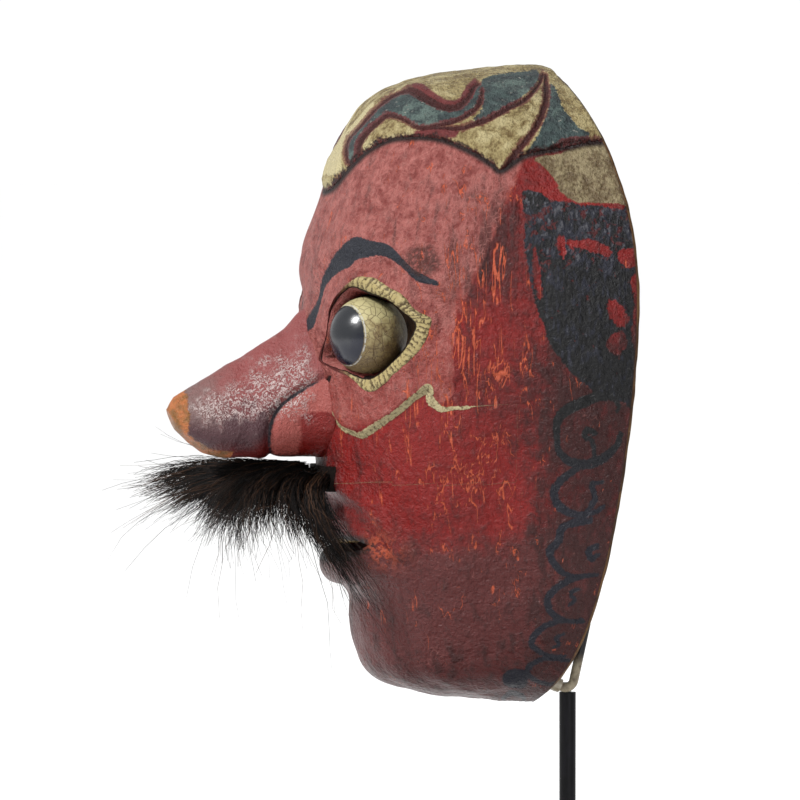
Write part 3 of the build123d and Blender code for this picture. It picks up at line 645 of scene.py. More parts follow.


# rose above and plum below, the plum and a deep red band at the bottom painted shade on the underside, red
# behind the wing's crease, bare wood at the tip, a pale net of bloom thickest along the upper side as a
# painted highlight
def paintedNose():
    colors = {
        "rose": tint(158, 78, 76), "plum": tint(84, 48, 54), "deep": tint(112, 26, 24),
        "bloom": tint(232, 212, 208), "ochre": tint(196, 130, 62), "ochreDark": tint(140, 92, 38),
        "orange": tint(206, 104, 62), "line": tint(48, 42, 50), "pink": tint(178, 88, 80),
        "red": tint(136, 20, 12), "grey": tint(136, 106, 102),
    }
    f = Finish("painted_nose", roughness=0.4, specular=0.12)
    fine, mid, broad = f.noise(1.0, 4), f.noise(4.5, 4), f.noise(16, 3)
    along, high = f.field("along"), f.field("high")
    # painted shade: plum on the underside, rose on the upper side
    color = f.mix(f.above(high + (mid - 0.5) * 0.7 + (0.5 - along) * 0.25, 0.5, 0.35), colors["plum"],
                  colors["rose"])
    color = f.mix(f.above(along + (mid - 0.5) * 0.4, 0.72, 0.4) * f.above(high, 0.4, 0.4), color,
                  colors["grey"])
    # deep red along the very bottom, more painted shade on the underside
    color = f.mix(f.below(high + (broad - 0.5) * 0.5, 0.12, 0.2) * f.below(along, 0.75, 0.3), color,
                  colors["deep"])
    # behind the crease of the wing the cheek's pink and red take over
    cheek = f.above(f.field("wing") + (fine - 0.5), 0.0, 0.6)
    cheekColor = f.mix(f.above(f.field("cheekRed") + (mid - 0.5) * 0.8, 0.5, 0.3), colors["pink"],
                       colors["red"])
    color = f.mix(cheek, color, cheekColor)
    # pale paint bloom in a fine net, thickest along the upper side, where it is a painted highlight
    veins = (f.noise(1.7, 3, 0.6, warp=1.2) - 0.5).math("ABSOLUTE")
    net = f.below(veins, 0.035, 0.04).math("MAXIMUM", f.above(f.noise(0.6, 2), 0.62, 0.06))
    where = f.above(f.field("bloom") + (mid - 0.5) * 1.5 + (broad - 0.5) * 0.9, 0.5, 0.5)
    color = f.mix(net * where * 0.85, color, colors["bloom"])
    bare = f.below(f.field("bareTip") + (mid - 0.5) * 3.0 + (fine - 0.5) * 1.6, 0.0, 0.6)
    color = f.mix(bare, color, f.mix(f.above(mid, 0.5, 0.2), colors["ochreDark"],
                                     f.mix(fine, colors["ochre"], colors["orange"])))
    line = f.below(f.field("crease") + (fine - 0.5) * 0.9, 0.0, 0.5) * f.above(fine + mid, 0.72, 0.1)
    color = f.mix(line, color, colors["line"])
    f.feed("Base Color", color)
    f.feed("Roughness", 0.34 + mid * 0.25)
    relief = fine * 0.7 + mid * 1.3 + net * where * 0.16 - bare * 0.25 + f.noise(0.5, 2) * 0.2
    f.bump(relief, 0.8)
    return f.material


# light and dark wood mixed by noise drawn out upwards, with short dark pores
def plainWood(name, light, dark, size=1.0):
    f = Finish(name, roughness=0.62, specular=0.06)
    grain = f.noise(2.2 * size, 5, stretch=(1, 1, 0.1))
    broad = f.noise(18, 3)
    color = f.mix(f.above(grain + (broad - 0.5) * 0.6, 0.5, 0.35), dark, light)
    pores = f.above(f.noise(0.8, 3, stretch=(1, 1, 0.08)), 0.62, 0.08)
    color = f.mix(pores * 0.6, color, tint(24, 14, 9))
    f.feed("Base Color", color)
    f.feed("Roughness", 0.52 + broad * 0.25)
    f.bump(grain * 0.35 - pores * 0.25 + f.noise(0.6, 2) * 0.08, 0.7)
    return f.material


# gold with hatching = sine of the place around the lid, bent by noise; painted shade over the edge of the
# hole and down its wall
def lidGold():
    colors = {"gold": tint(178, 158, 100), "pale": tint(206, 190, 140), "hatch": tint(72, 52, 26),
              "dark": tint(24, 8, 6), "red": tint(96, 34, 30)}
    f = Finish("gilded_lids", roughness=0.5, specular=0.08)
    fine, mid = f.noise(0.9, 4), f.noise(4, 3)
    color = f.mix(mid, colors["gold"], colors["pale"])
    around, across = f.field("around"), f.field("across")
    hatch = (around * 190 + (fine - 0.5) * 9 + (mid - 0.5) * 14 + across * 6).math("SINE")
    hatched = f.above(hatch + (mid - 0.5) * 3.0, 0.55, 0.5) * f.above(fine, 0.4, 0.2)
    color = f.mix(hatched * 0.75, color, colors["hatch"])
    color = f.mix(f.above(fine + mid * 0.4, 0.78, 0.1) * 0.7, color, colors["hatch"])
    color = f.mix(f.field("front") * f.above(fine * 0.5 + f.field("front"), 0.6, 0.3), color, colors["red"])
    # painted shade where the lid rolls over into the hole and runs inwards as a wall
    color = f.mix(f.above(across + (fine - 0.5) * 0.12, 0.8, 0.08), color, colors["dark"])
    f.feed("Base Color", color)
    f.feed("Roughness", 0.42 + mid * 0.2)
    f.bump(fine * 0.25 - hatched * 0.2 + mid * 0.3, 0.8)
    return f.material


# cream, browner lower down and towards the back as painted shade, and flaked, with a dark pupil cap of
# 49 degrees, grey above as a painted reflection and blue-black below, and a worn pale ring round it
def eyePaint():
    colors = {"cream": tint(214, 202, 148), "shade": tint(150, 128, 82), "brown": tint(96, 70, 42),
              "pupil": tint(52, 54, 58), "pupilLow": tint(14, 18, 40), "white": tint(226, 226, 222)}
    f = Finish("painted_eye", roughness=0.32, specular=0.16)
    fine, mid, broad = f.noise(0.9, 4), f.noise(3.2, 4), f.noise(9, 3)
    low = f.field("low")
    # painted shade: the "low" field turns the cream browner towards the ball's bottom and back
    color = f.mix(f.above(mid * 0.7 + low * 0.7 + broad * 0.2, 0.8, 0.35), colors["cream"], colors["shade"])
    color = f.mix(f.above(fine * 0.6 + mid * 0.3 + low * 0.35, 0.72, 0.12) * 0.6, color, colors["brown"])
    flake = f.below(f.cells(2.6), 0.035, 0.04)
    color = f.mix(flake * 0.5, color, colors["brown"])
    turn = f.field("fromPupil") + (fine - 0.5) * 3.0
    pupil = f.below(turn, 49.0, 2.0)
    # the pupil is grey above as a painted reflection and blue-black below
    color = f.mix(pupil, color, f.mix(f.above(low + (mid - 0.5) * 0.3, 0.52, 0.3), colors["pupil"],
                                      colors["pupilLow"]))
    ring = f.below((turn - 51.0).math("ABSOLUTE"), 0.9, 1.2) * f.above(fine, 0.45, 0.1)
    color = f.mix(ring * 0.8, color, colors["white"])
    f.feed("Base Color", color)
    f.feed("Roughness", 0.45 + mid * 0.2 - pupil * 0.32)
    f.bump(mid * 0.3 * (1 - pupil * 0.7) + fine * 0.12 * (1 - pupil * 0.8) - flake * 0.12 * (1 - pupil), 0.8)
    return f.material


# two colours mixed by noise of a size in millimetres, with a slight bump
def simpleFinish(name, light, dark, size, roughness, specular, metallic=0.0, relief=0.1, stretch=(1, 1, 1)):
    f = Finish(name, roughness, specular, metallic)
    fine, mid = f.noise(size, 4, stretch=stretch), f.noise(size * 6, 3)
    f.feed("Base Color", f.mix(f.above(fine * 0.7 + mid * 0.4, 0.55, 0.35), dark, light))
    f.feed("Roughness", roughness - 0.08 + mid * 0.16)
    f.bump(fine * relief, 0.8)
    return f.material


print("making the finishes")
facePaint, bandPaint, nosePaint = paintedFace(), paintedBand(), paintedNose()
hollowWood = plainWood("hollow_wood", tint(142, 104, 66), tint(78, 52, 32))
gold, eyeFinish = lidGold(), eyePaint()


# face shell
swellings = [  # (height, middle along, middle up, width along, width up)
    (2.0, -42, 76, 17, 17),  # cheek
    (-1.6, -20, 64, 10, 26),  # hollow behind the cheek
    (1.2, -60, 20, 11, 11),  # chin
    (-1.4, -66, 33, 8, 3.6),  # dip under the lip
]


# sum of the carved swellings and hollows at places on the outer form, in millimetres outwards
def carving(points, places):
    a, h = places.T
    bulge = np.zeros(len(points))
    lineOff, lineAlong = lineDistance(places, throughPoints(bagLine), 16.0)
    onEyeSide = lineOff > 0
    fade = rise(lineAlong, 0.0, 0.1) * (1 - rise(lineAlong, 0.66, 0.8))
    bulge += 1.5 * fade * np.where(onEyeSide, rise(lineOff, -0.2, 1.2) * np.exp(-lineOff / 11), 0)
    bulge -= 0.5 * fade * np.where(onEyeSide, 0, np.exp(-(np.abs(lineOff) / 2.5) ** 2))
    eyeOff = areaDistance(places, throughPoints(eyeRim, 4, True), 20.0)
    bulge -= 2.2 * np.exp(-((eyeOff - 5) / 4.0) ** 2) * rise(h, 106, 122)
    bulge += 0.9 * np.exp(-(eyeOff / 2.2) ** 2)
    browOff = areaDistance(places, throughPoints(brow, 4, True), 20.0)
    bulge += 1.3 * np.exp(-(np.maximum(browOff, 0) / 4.0) ** 2)
    foldOff, _ = lineDistance(places, throughPoints(smileFold))
    groove = 0.9 * np.exp(-((foldOff + 4.5) / 2.6) ** 2) * (foldOff < 0)
    bulge += 1.6 * np.exp(-(np.abs(foldOff) / 3.2) ** 2) - groove
    for height, middleA, middleH, wideA, wideH in swellings:
        bulge += height * np.exp(-(((a - middleA) / wideA) ** 2 + ((h - middleH) / wideH) ** 2))
    mirrored = np.stack([np.abs(points[:, 0]) * 0.98 + 3 * (points[:, 0] < 0), points[:, 1], points[:, 2]],
                        axis=1)
    bulge += 0.8 * lattice(mirrored, 21.0, 1) + 0.42 * lattice(mirrored, 9.0, 2)
    bulge += 0.2 * lattice(mirrored * np.array([1, 1, 0.4]), 3.6, 3)
    seamOff, _ = lineDistance(places, noseSeam)
    bulge -= 0.6 * np.exp(-(seamOff / 0.7) ** 2)
    return bulge


# lips: two half-round rolls round a slot that narrows to its corners, in front view
lips = {"middle": 47.6, "halfWidth": 27.5, "gap": 3.4, "roll": 5.0, "stand": 2.6, "lowerDrop": 6.4,
        "upperRise": 7.0}


# distance from the mouth's slot, negative inside it: the slot is a lens bent down at its corners
def mouthDistance(x, z):
    share = np.clip(np.abs(x) / lips["halfWidth"], 0, 1.3)
    middle = lips["middle"] + 1.2 * share**2
    half = lips["gap"] * np.sqrt(np.maximum(1 - share**2, 0))
    beyond = np.maximum(np.abs(x) - lips["halfWidth"], 0)
    off = np.abs(z - middle)
    outside = np.hypot(np.maximum(off - half, 0), beyond)
    inside = np.where(off < half, np.minimum(half - off, 3), 0)
    return outside - inside


# two half-round rolls under and over the opening, both fading to nothing at the corners of the mouth
def lipCarving(points):
    x, z = points[:, 0], points[:, 2]
    front = rise(-points[:, 1], 40, 50)
    share = np.clip(np.abs(x) / (lips["halfWidth"] + 3), 0, 1)
    size = np.sqrt(np.maximum(1 - share**2.2, 0))
    low = lips["middle"] + 1.2 * share**2 - lips["lowerDrop"] * size**0.6
    high = lips["middle"] + 1.2 * share**2 + lips["upperRise"] * size**0.6
    lower = np.sqrt(np.maximum(1 - ((z - low) / lips["roll"]) ** 2, 0)) * size * lips["stand"]
    upper = np.sqrt(np.maximum(1 - ((z - high) / lips["roll"]) ** 2, 0)) * size * lips["stand"] * 0.55
    return (lower + upper) * front


# fields that the paint reads, all distances in millimetres
def faceFields(points, places, rimClose):
    a, h = places.T
    x = points[:, 0]
    fields = {}
    fields["rose"] = np.clip(
        1.0 * rise(h, 108, 130) * rise(-30.0 + 0.42 * (h - 120) - a, 0, 3)
        + 0.8 * rise(h, 96, 104) * rise(-a, 62, 72)
        + 0.75 * (areaDistance(places, throughPoints(eyeRim, 4, True), 20) < 16) * rise(h, 80, 88)
        * (lineDistance(places, throughPoints(bagLine), 20)[0] > 0) * (a < -34), 0, 1)
    fields["maroon"] = np.clip(rise(62 - h, 0, 26) * 1.1
                               + 0.3 * rise(a, -24, -8) * rise(110 - h, 0, 30), 0, 1)
    fields["cracks"] = np.clip(np.exp(-(((a + 32) / 22) ** 2 + ((h - 100) / 52) ** 2)), 0, 1)
    # the "dark" field is painted shade: higher towards the rim at the back up to 130 mm, towards the bottom,
    # and in a patch between the brow's tail and the temple hair
    fields["dark"] = np.clip(0.8 * rise(a, -22, 2) * rise(130 - h, 0, 30) + 0.35 * rise(40 - h, 0, 40)
                             + 0.7 * np.exp(-(((a + 24) / 14) ** 2 + ((h - 136) / 16) ** 2)), 0, 1)
    temple = areaDistance(places, throughPoints(templeHair, 4, True))
    for gap in templeGaps:
        temple = np.maximum(temple, -areaDistance(places, throughPoints(gap, 4, True)))
    fields["temple"] = temple
    fields["faded"] = rise(h, 118, 146)
    cream = areaDistance(places, throughPoints(creamPatch, 4, True))
    fields["cream"] = cream
    ink = np.full(len(a), farOff)
    for curl, first, middle, last in curls:
        ink = np.minimum(ink, strokeDistance(places, curl, [(0, first), (.5, middle), (1, last)]))
    fields["curls"] = np.minimum(ink, areaDistance(places, throughPoints(chinPatch, 4, True)))
    fields["fadeDown"] = rise(88 - h, 0, 30)
    fields["brow"] = areaDistance(places, throughPoints(brow, 5, True))
    fields["smudge"] = np.hypot((a + 43.5) / 1.3, (h - 133)) - 4.5
    side, along = lineDistance(places, throughPoints(bagLine))
    fields["bagSide"] = side
    shape = [(0, .8), (.1, .95), (.3, 1.05), (.5, .8), (.62, .9), (.72, 1.3), (.82, 1.1), (.9, .6), (1, .5)]
    fields["bagWidth"] = smoothThrough(shape, along)
    fields["seam"] = strokeDistance(places, noseSeam, [(0, .1), (.5, .4), (1, .3)])
    edge = throughPoints(bandEdge)
    fields["toBand"] = np.abs(lineDistance(places, edge)[0])
    fields["rimEdge"] = 1 - rise(rimClose, 0.2, 1.6)
    near = mouthDistance(x, points[:, 2])
    front = rise(-points[:, 1], 40, 50)
    # painted shade where the lips turn into the mouth's slot, at the front
    fields["mouthDark"] = (1 - rise(near, 0.2, 1.6)) * front
    fields["mouthWorn"] = np.exp(-(((np.abs(x) - 30) / 4) ** 2 + ((h - 48) / 4.5) ** 2)) * front
    return fields


# shares up the form, close together where the face is painted and wide apart under the head band
def rowShares():
    low = np.linspace(0, 0.80, mask["rows"] - mask["crownRows"] + 1)
    return np.concatenate([low, np.linspace(0.80, 1, mask["crownRows"] + 1)[1:]])


# swings crowded a little towards the front, where the features are
def columnSwings(count):
    t = np.linspace(-1, 1, count + 1)
    return np.pi / 2 * (t + 0.06 * np.sin(np.pi * t))


# smooths the ragged loop of a hole's edge and joins the outer loop to the inner one
def bridgeHole(work, test):
    edges = [e for e in work.edges if e.is_boundary and test(e.verts[0].co)]
    for _ in range(5):
        moved = {}
        for e in edges:
            for v in e.verts:
                around = [g.other_vert(v).co for g in v.link_edges if g.is_boundary]
                if len(around) == 2:
                    moved[v] = v.co * 0.5 + (around[0] + around[1]) * 0.25
        for v, place in moved.items():
            v.co = place
    bmesh.ops.bridge_loops(work, edges=edges)


# the form's grid, each place moved along its normal by the carving and the lips, less under the band
# and near the rim; a gouged inner form lies behind it, and the eyes and mouth are cut through both
def makeShell():
    s, alpha = rowShares()[:, None], columnSwings(mask["columns"])[None, :]
    outer = formGrid(s, alpha)
    normals = gridNormals(outer)
    flat, n = outer.reshape(-1, 3), normals.reshape(-1, 3)
    places = drawn(flat)
    count = len(flat)
    lineUp = np.interp(places[:, 0], *np.array(bandEdge, float).T)
    under = rise(places[:, 1] - lineUp, 0, 3)
    push = (carving(flat, places) + lipCarving(flat)) * (1 - under) - 0.5 * under
    rimClose = rimAt(flat[:, 2]) - flat[:, 1]
    push *= 0.25 + 0.75 * rise(rimClose, 0.5, 6)
    fields = faceFields(flat, places, rimClose)
    shaped = (flat + n * push[:, None]).reshape(outer.shape)

    innerRows = rowShares()[::2][:, None]
    inner = formGrid(innerRows, columnSwings(mask["columns"])[::2][None, :], mask["innerScale"],
                     mask["innerCentre"])
    inN = gridNormals(inner).reshape(-1, 3)
    inFlat = inner.reshape(-1, 3)
    gouge = 0.7 * lattice(inFlat * np.array([1, 1, 0.35]), 7.0, 5) + 0.35 * lattice(inFlat, 3.4, 6)
    inDeep = rise(rimAt(inFlat[:, 2]) - inFlat[:, 1], 0.5, 7)
    inMoved = inFlat + inN * (gouge * inDeep)[:, None]

    outLoop = shaped.reshape(-1, 3)[borderOf(mask["rows"], mask["columns"])]
    inLoop = inMoved[borderOf(mask["rows"] // 2, mask["columns"] // 2)]
    inLoopFull = np.empty_like(outLoop)
    inLoopFull[::2] = inLoop
    inLoopFull[1::2] = (inLoop + np.roll(inLoop, -1, axis=0)) / 2
    rings = []
    for share, back in ((0.05, 0.0), (0.12, 0.05), (0.35, 0.1), (0.62, 0.1), (0.86, 0.05), (0.95, 0.0)):
        ring = outLoop * (1 - share) + inLoopFull * share
        ring[:, 1] = rimAt(ring[:, 2]) + back + 0.18 * lattice(ring, 4.0, 7)
        rings.append(ring)
    points, faces = closedWall(shaped, rings, inMoved.reshape(inner.shape))
    points = cutThroat(points)
    onRim = len(points) - count
    values = {}
    for word, v in fields.items():
        values[word] = np.concatenate([v, np.full(onRim, 1.0 if word == "rimEdge" else 0.0)])
    for word in ("temple", "cream", "curls", "brow", "smudge", "bagSide", "seam", "toBand"):
        values[word][count:] = farOff
    shell = makePiece("face_shell_carving", points, faces, "mask", values)
    shell.data.materials.append(facePaint)
    shell.data.materials.append(hollowWood)
    index = np.array([0 if max(face) < count else 1 for face in faces], np.int32)
    shell.data.polygons.foreach_set("material_index", index)

    # eye and mouth openings: faces inside the outlines go, and the two edges are joined
    eyeTest = throughPoints(eyeHole, 4, True)
    outlineOuter = areaDistance(drawn(points[:count]), eyeTest, 20.0)
    firstInner = len(points) - len(inMoved)
    unscaled = (points[firstInner:] - np.array([0, 0, mask["innerCentre"]])) / np.array(mask["innerScale"])
    unscaled += np.array([0, 0, mask["innerCentre"]])
    outlineInner = areaDistance(drawn(unscaled), eyeTest, 20.0)
    lidTest = throughPoints(eyeRim, 4, True)
    outlineOuter = outlineOuter * 0.6 + areaDistance(drawn(points[:count]), lidTest, 20.0) * 0.4
    opening = np.full(len(points), 9.0)
    opening[:count], opening[firstInner:] = outlineOuter, outlineInner + 0.5
    opening = np.where(points[:, 1] < -30, opening, 9.0)
    mouth = np.where(points[:, 1] < -35, mouthDistance(points[:, 0], points[:, 2]), 9.0)
    gone = (opening < 0) | (mouth < 0.05)
    work = bmesh.new()
    work.from_mesh(shell.data)
    work.verts.ensure_lookup_table()
    dead = [face for face in work.faces if all(gone[v.index] for v in face.verts)]
    bmesh.ops.delete(work, geom=dead, context="FACES")
    loose = [v for v in work.verts if not v.link_faces]
    bmesh.ops.delete(work, geom=loose, context="VERTS")
    eyeLevel = origin[2] + 80 * mm
    bridgeHole(work, lambda co: co.z > eyeLevel and co.x > 0)
    bridgeHole(work, lambda co: co.z > eyeLevel and co.x < 0)
    bridgeHole(work, lambda co: co.z < eyeLevel)
    for face in work.faces:
        face.smooth = True
    bmesh.ops.recalc_face_normals(work, faces=work.faces)
    work.to_mesh(shell.data)
    work.free()
    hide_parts("face_shell")
    print("face shell:", len(shell.data.polygons), "faces")
    return shaped, normals


print("carving the face")
faceGrid, faceNormals = makeShell()


# head band
band = {"rows": 120, "columns": 360, "raise": 1.7, "grooveDepth": 0.9, "bury": 1.4}


# closed sheet over the form from the band's drawn edge to the crown, raised outside, buried inside
def makeBand():
    alpha = columnSwings(band["columns"])
    # each column starts where the form meets the drawn edge of the band
    probe = np.linspace(0.6, 0.999, 500)
    scan = formGrid(probe[:, None], alpha[None, :])
    places = drawn(scan.reshape(-1, 3))
    lineUp = np.interp(places[:, 0], *throughPoints(bandEdge).T)
    over = (places[:, 1] - lineUp).reshape(scan.shape[:2]) > 0
    start = probe[np.argmax(over, axis=0)]
    wobble = 0.0016 * lattice(np.stack([alpha * 60, alpha * 0, alpha * 0], axis=1), 1.6, 9)
    start = start + wobble
    t = np.linspace(0, 1, band["rows"] + 1)[:, None]
    s = start[None, :] + (1 - start[None, :]) * t
    grid = formGrid(s, np.broadcast_to(alpha[None, :], s.shape))
    n = gridNormals(grid)
    flat, nFlat = grid.reshape(-1, 3), n.reshape(-1, 3)
    places = drawn(flat)
    fields = {}
    ledge = np.abs(lineDistance(places, throughPoints(bandEdge))[0])
    # the paint lays painted shadow along this distance to the ledge
    fields["ledge"] = ledge
    groove = np.full(len(flat), farOff)
    for line, halfWidth in bandGrooves:
        groove = np.minimum(groove, strokeDistance(places, line, halfWidth))
    fields["groove"] = groove
    green = np.full(len(flat), farOff)
    for outline in bandGreens:
        green = np.minimum(green, areaDistance(places, throughPoints(outline, 4, True)))
    rimClose = rimAt(flat[:, 2]) - flat[:, 1]
    crest = np.hypot(np.abs(flat[:, 0]) / 1.6, np.maximum(176 - flat[:, 2], 0)) - 4.5
    border = np.minimum(rimClose - 5 + 1.4 * lattice(flat, 5.0, 12), crest + 1.2 * lattice(flat, 5.0, 13))
    fields["green"] = np.maximum(green, -border)
    for word, outlines in (("creams", bandCreams), ("pinks", bandPinks)):
        distances = [areaDistance(places, throughPoints(outline, 4, True)) for outline in outlines]
        fields[word] = np.minimum.reduce(distances)
    lower = 1 - 0.75 * rise(flat[:, 2], 166, 186)
    up = band["raise"] * rise(ledge, -0.2, 1.3) * rise(rimClose, -0.5, 1.5) * lower
    up = up - band["grooveDepth"] * (1 - rise(groove, -0.9, 0.7)) * rise(rimClose, 0.5, 4)
    up += 0.35 * lattice(flat, 11.0, 21) + 0.2 * lattice(flat, 4.5, 22) + 0.1 * lattice(flat, 1.9, 23)
    up += 0.45 * (lattice(flat, 2.6, 24) * np.exp(-(ledge / 2.0) ** 2))
    outer = (flat + nFlat * up[:, None]).reshape(grid.shape)
    inner = (grid - n * band["bury"])[::2, ::2]
    outLoop = outer.reshape(-1, 3)[borderOf(band["rows"], band["columns"])]
    inLoop = inner.reshape(-1, 3)[borderOf(band["rows"] // 2, band["columns"] // 2)]
    full = np.empty_like(outLoop)
    full[::2], full[1::2] = inLoop, (inLoop + np.roll(inLoop, -1, axis=0)) / 2
    rings = [outLoop * (1 - share) + full * share for share in (0.2, 0.5)]
    points, faces = closedWall(outer, rings, inner)
    extra = len(points) - len(flat)
    values = {}
    for word, v in fields.items():
        values[word] = np.concatenate([v, np.full(extra, 0.0 if word == "ledge" else farOff)])
    piece = makePiece("head_band_carving", points, faces, "mask", values)
    piece.data.materials.append(bandPaint)
    turnOutward(piece)
    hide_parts("face_shell")
    print("head band:", len(piece.data.polygons), "faces")


makeBand()


# eyes
# places on the face that are drawn at (along, height), with their normals: the mean of the nearest
# grid points, weighted by closeness
def onFace(outline, side):
    grid, n = faceGrid.reshape(-1, 3), faceNormals.reshape(-1, 3)
    keep = (grid[:, 0] > -2) & (grid[:, 1] < -20) & (grid[:, 2] > 60) & (grid[:, 2] < 150)
    grid, n = grid[keep], n[keep]
    flat = drawn(grid)
    gap = np.hypot(flat[None, :, 0] - outline[:, 0:1], flat[None, :, 1] - outline[:, 1:2])
    nearest = np.argpartition(gap, 5, axis=1)[:, :5]
    weight = 1 / (np.take_along_axis(gap, nearest, axis=1) + 0.05) ** 2
    weight /= weight.sum(1, keepdims=True)
    place = (grid[nearest] * weight[..., None]).sum(1)
    normal = (n[nearest] * weight[..., None]).sum(1)
    normal /= np.linalg.norm(normal, axis=1, keepdims=True)
    mirror = np.array([side, 1, 1])
    return place * mirror, normal * mirror


# the outline resampled to a number of places even in length
def evenly(outline, count):
    loop = np.vstack([outline, outline[:1]])
    length = np.concatenate([[0], np.cumsum(np.hypot(*np.diff(loop, axis=0).T))])
    at = np.linspace(0, length[-1], count, endpoint=False)
    return np.stack([np.interp(at, length, loop[:, k]) for k in range(loop.shape[1])], axis=1)


eye = {"centre": (32.0, -66.0, 111.0), "radius": 11.5, "heading": 25.0, "deep": 10.0, "rows": 96,
       "columns": 128, "lidColumns": 220, "lidHeading": 33.0, "pupil": 48.0, "step": 52.0}


# ring of lid between the drawn outline on the skin and the hole: it rises from under the skin,
# rolls over at the hole and runs inwards as a wall; it closes on itself under the skin
def makeLids(side, word):
    count = eye["lidColumns"]
    rimOut = evenly(throughPoints(eyeRim, 6, True), count)
    rimIn = evenly(throughPoints(eyeHole, 6, True), count)
    outer, outN = onFace(rimOut, side)
    inner, inN = onFace(rimIn, side)
    for _ in range(3):
        outer = outer * 0.5 + (np.roll(outer, 1, 0) + np.roll(outer, -1, 0)) * 0.25
        inner = inner * 0.5 + (np.roll(inner, 1, 0) + np.roll(inner, -1, 0)) * 0.25
    centre = np.array(eye["centre"]) * np.array([side, 1, 1])
    turned = math.radians(eye["lidHeading"])
    inward = np.array([-side * math.sin(turned), math.cos(turned), 0])
    thick = np.linalg.norm(outer - inner, axis=1, keepdims=True)
    high = rise(rimOut[:, 1:2], 112, 122)
    profile = [(-0.05, -1.4, 0), (0.0, 0.05, 0), (0.12, 0.55, 0), (0.3, 0.8, 0), (0.5, 0.85, 0),
               (0.7, 0.7, 0), (0.86, 0.3, 0), (0.96, -0.5, 0), (1.0, -1.6, 0), (1.0, -1.6, 0.25),
               (0.98, -1.6, 0.6), (0.9, -1.6, 1.0), (0.4, -2.6, 1.0), (0.0, -2.6, 0.5)]
    rings, across = [], []
    for share, height, deep in profile:
        ring = outer * (1 - share) + inner * share
        normal = outN * (1 - share) + inN * share
        lift = height * (1 + 0.5 * high) if height > 0 else height
        rings.append(ring + normal * lift * np.clip(thick / 3, 0.35, 1) ** (height > 0) + inward * deep
                     * eye["deep"])
        across.append(min(max(share, 0), 1) + deep)
    grid = np.stack(rings).reshape(-1, 3)
    rough = 0.22 * lattice(grid, 2.4, 31) + 0.12 * lattice(grid, 1.1, 32)
    toBall = grid - centre
    grid = grid + toBall / np.linalg.norm(toBall, axis=1, keepdims=True) * rough[:, None]
    rows = len(profile)
    number = np.arange(rows * count).reshape(rows, count)
    nextRow, nextColumn = np.roll(number, -1, 0), np.roll(number, -1, 1)
    faces = np.stack([number, nextColumn, np.roll(nextRow, -1, 1), nextRow], axis=-1).reshape(-1, 4).tolist()
    around = np.tile(np.arange(count) / count, rows)
    front = rise(-drawn(grid)[:, 0], 62, 69)
    fields = {"around": np.abs(around - 0.5) * 2, "across": np.repeat(across, count), "front": front}
    lids = makePiece(f"eyelids_{word}", grid, faces, "mask", fields)
    lids.data.materials.append(gold)
    smooth = lids.modifiers.new("smooth", "SUBSURF")
    smooth.levels = smooth.render_levels = 1
    turnOutward(lids)
    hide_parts("face_shell")


# ball whose pole is the pupil's middle; it carries the angle from that pole in degrees
def makeEyeball(side, word):
    rows, columns = eye["rows"], eye["columns"]
    polar = np.pi * np.arange(1, rows) / rows
    turn = 2 * np.pi * np.arange(columns) / columns
    heading = math.radians(eye["heading"])
    axis = np.array([side * math.sin(heading), -math.cos(heading), 0])
    right = np.array([math.cos(heading), side * math.sin(heading), 0])
    up = np.array([0, 0, 1.0])
    p, t = np.meshgrid(polar, turn, indexing="ij")
    unit = (np.cos(p)[..., None] * axis + (np.sin(p) * np.cos(t))[..., None] * right
            + (np.sin(p) * np.sin(t))[..., None] * up).reshape(-1, 3)
    unit = np.vstack([unit, axis, -axis])
    angle = np.degrees(np.concatenate([p.ravel(), [0, np.pi]]))
    ball = unit * eye["radius"]
    lump = 0.16 * lattice(ball, 6.0, 41) + 0.07 * lattice(ball, 2.0, 42) * (angle > eye["pupil"])
    step = 0.12 * rise(eye["step"] - angle, 0, 2.5)
    points = np.array(eye["centre"]) * np.array([side, 1, 1]) + unit * (eye["radius"] + lump + step)[:, None]
    number = np.arange((rows - 1) * columns).reshape(rows - 1, columns)
    wrapped = np.roll(number, -1, 1)
    faces = np.stack([number[:-1], number[1:], wrapped[1:], wrapped[:-1]], axis=-1).reshape(-1, 4).tolist()
    first, last = len(unit) - 2, len(unit) - 1
    faces += [[first, int(a), int(b)] for a, b in zip(number[0], wrapped[0])]
    faces += [[last, int(b), int(a)] for a, b in zip(number[-1], wrapped[-1])]
    # low: 1 at the ball's bottom and back, read by the paint for painted shade and for the pupil's painted
    # reflection
    low = np.clip(0.5 - unit[:, 2] * 0.5 + 0.25 * unit[:, 1] + 0.1, 0, 1)
    fields = {"fromPupil": angle, "low": low}
    ball = makePiece(f"eyeball_{word}", points, faces, "mask", fields)
    ball.data.materials.append(eyeFinish)
    turnOutward(ball)
    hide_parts("face_shell")


print("setting the eyes")
for side, word in ((1, "left"), (-1, "right")):
    makeLids(side, word)
    makeEyeball(side, word)


# nose
nose = {
    "top": [(-66, 124), (-73.6, 121.6), (-78, 119.4), (-82, 117), (-86.3, 112.2), (-92.5, 108.3),
            (-98.7, 104), (-104.9, 100.6), (-111.1, 97), (-117.3, 93.6), (-120.2, 91.4), (-121.5, 88.6)],
    "bottom": [(-66, 73), (-75.8, 74.2), (-90, 74.2), (-103, 74.1), (-109.2, 75), (-113.6, 77.5),
               (-117.3, 80.5), (-120.4, 84.2), (-121.5, 88.6)],
    "half": [(-66, 20.5), (-73.6, 18.6), (-80, 15.6), (-92, 13.4), (-105, 11.4), (-113, 9.2), (-118, 6.6),
             (-120.6, 4), (-121.5, 0)],
    "back": -73.2, "tip": -121.5, "rows": 150, "columns": 176,
}
wingCrease = [(-72, 98.2), (-77, 95.6), (-83.2, 91.6), (-86.6, 88), (-88, 84.7), (-88.8, 80), (-88.6, 73.5)]


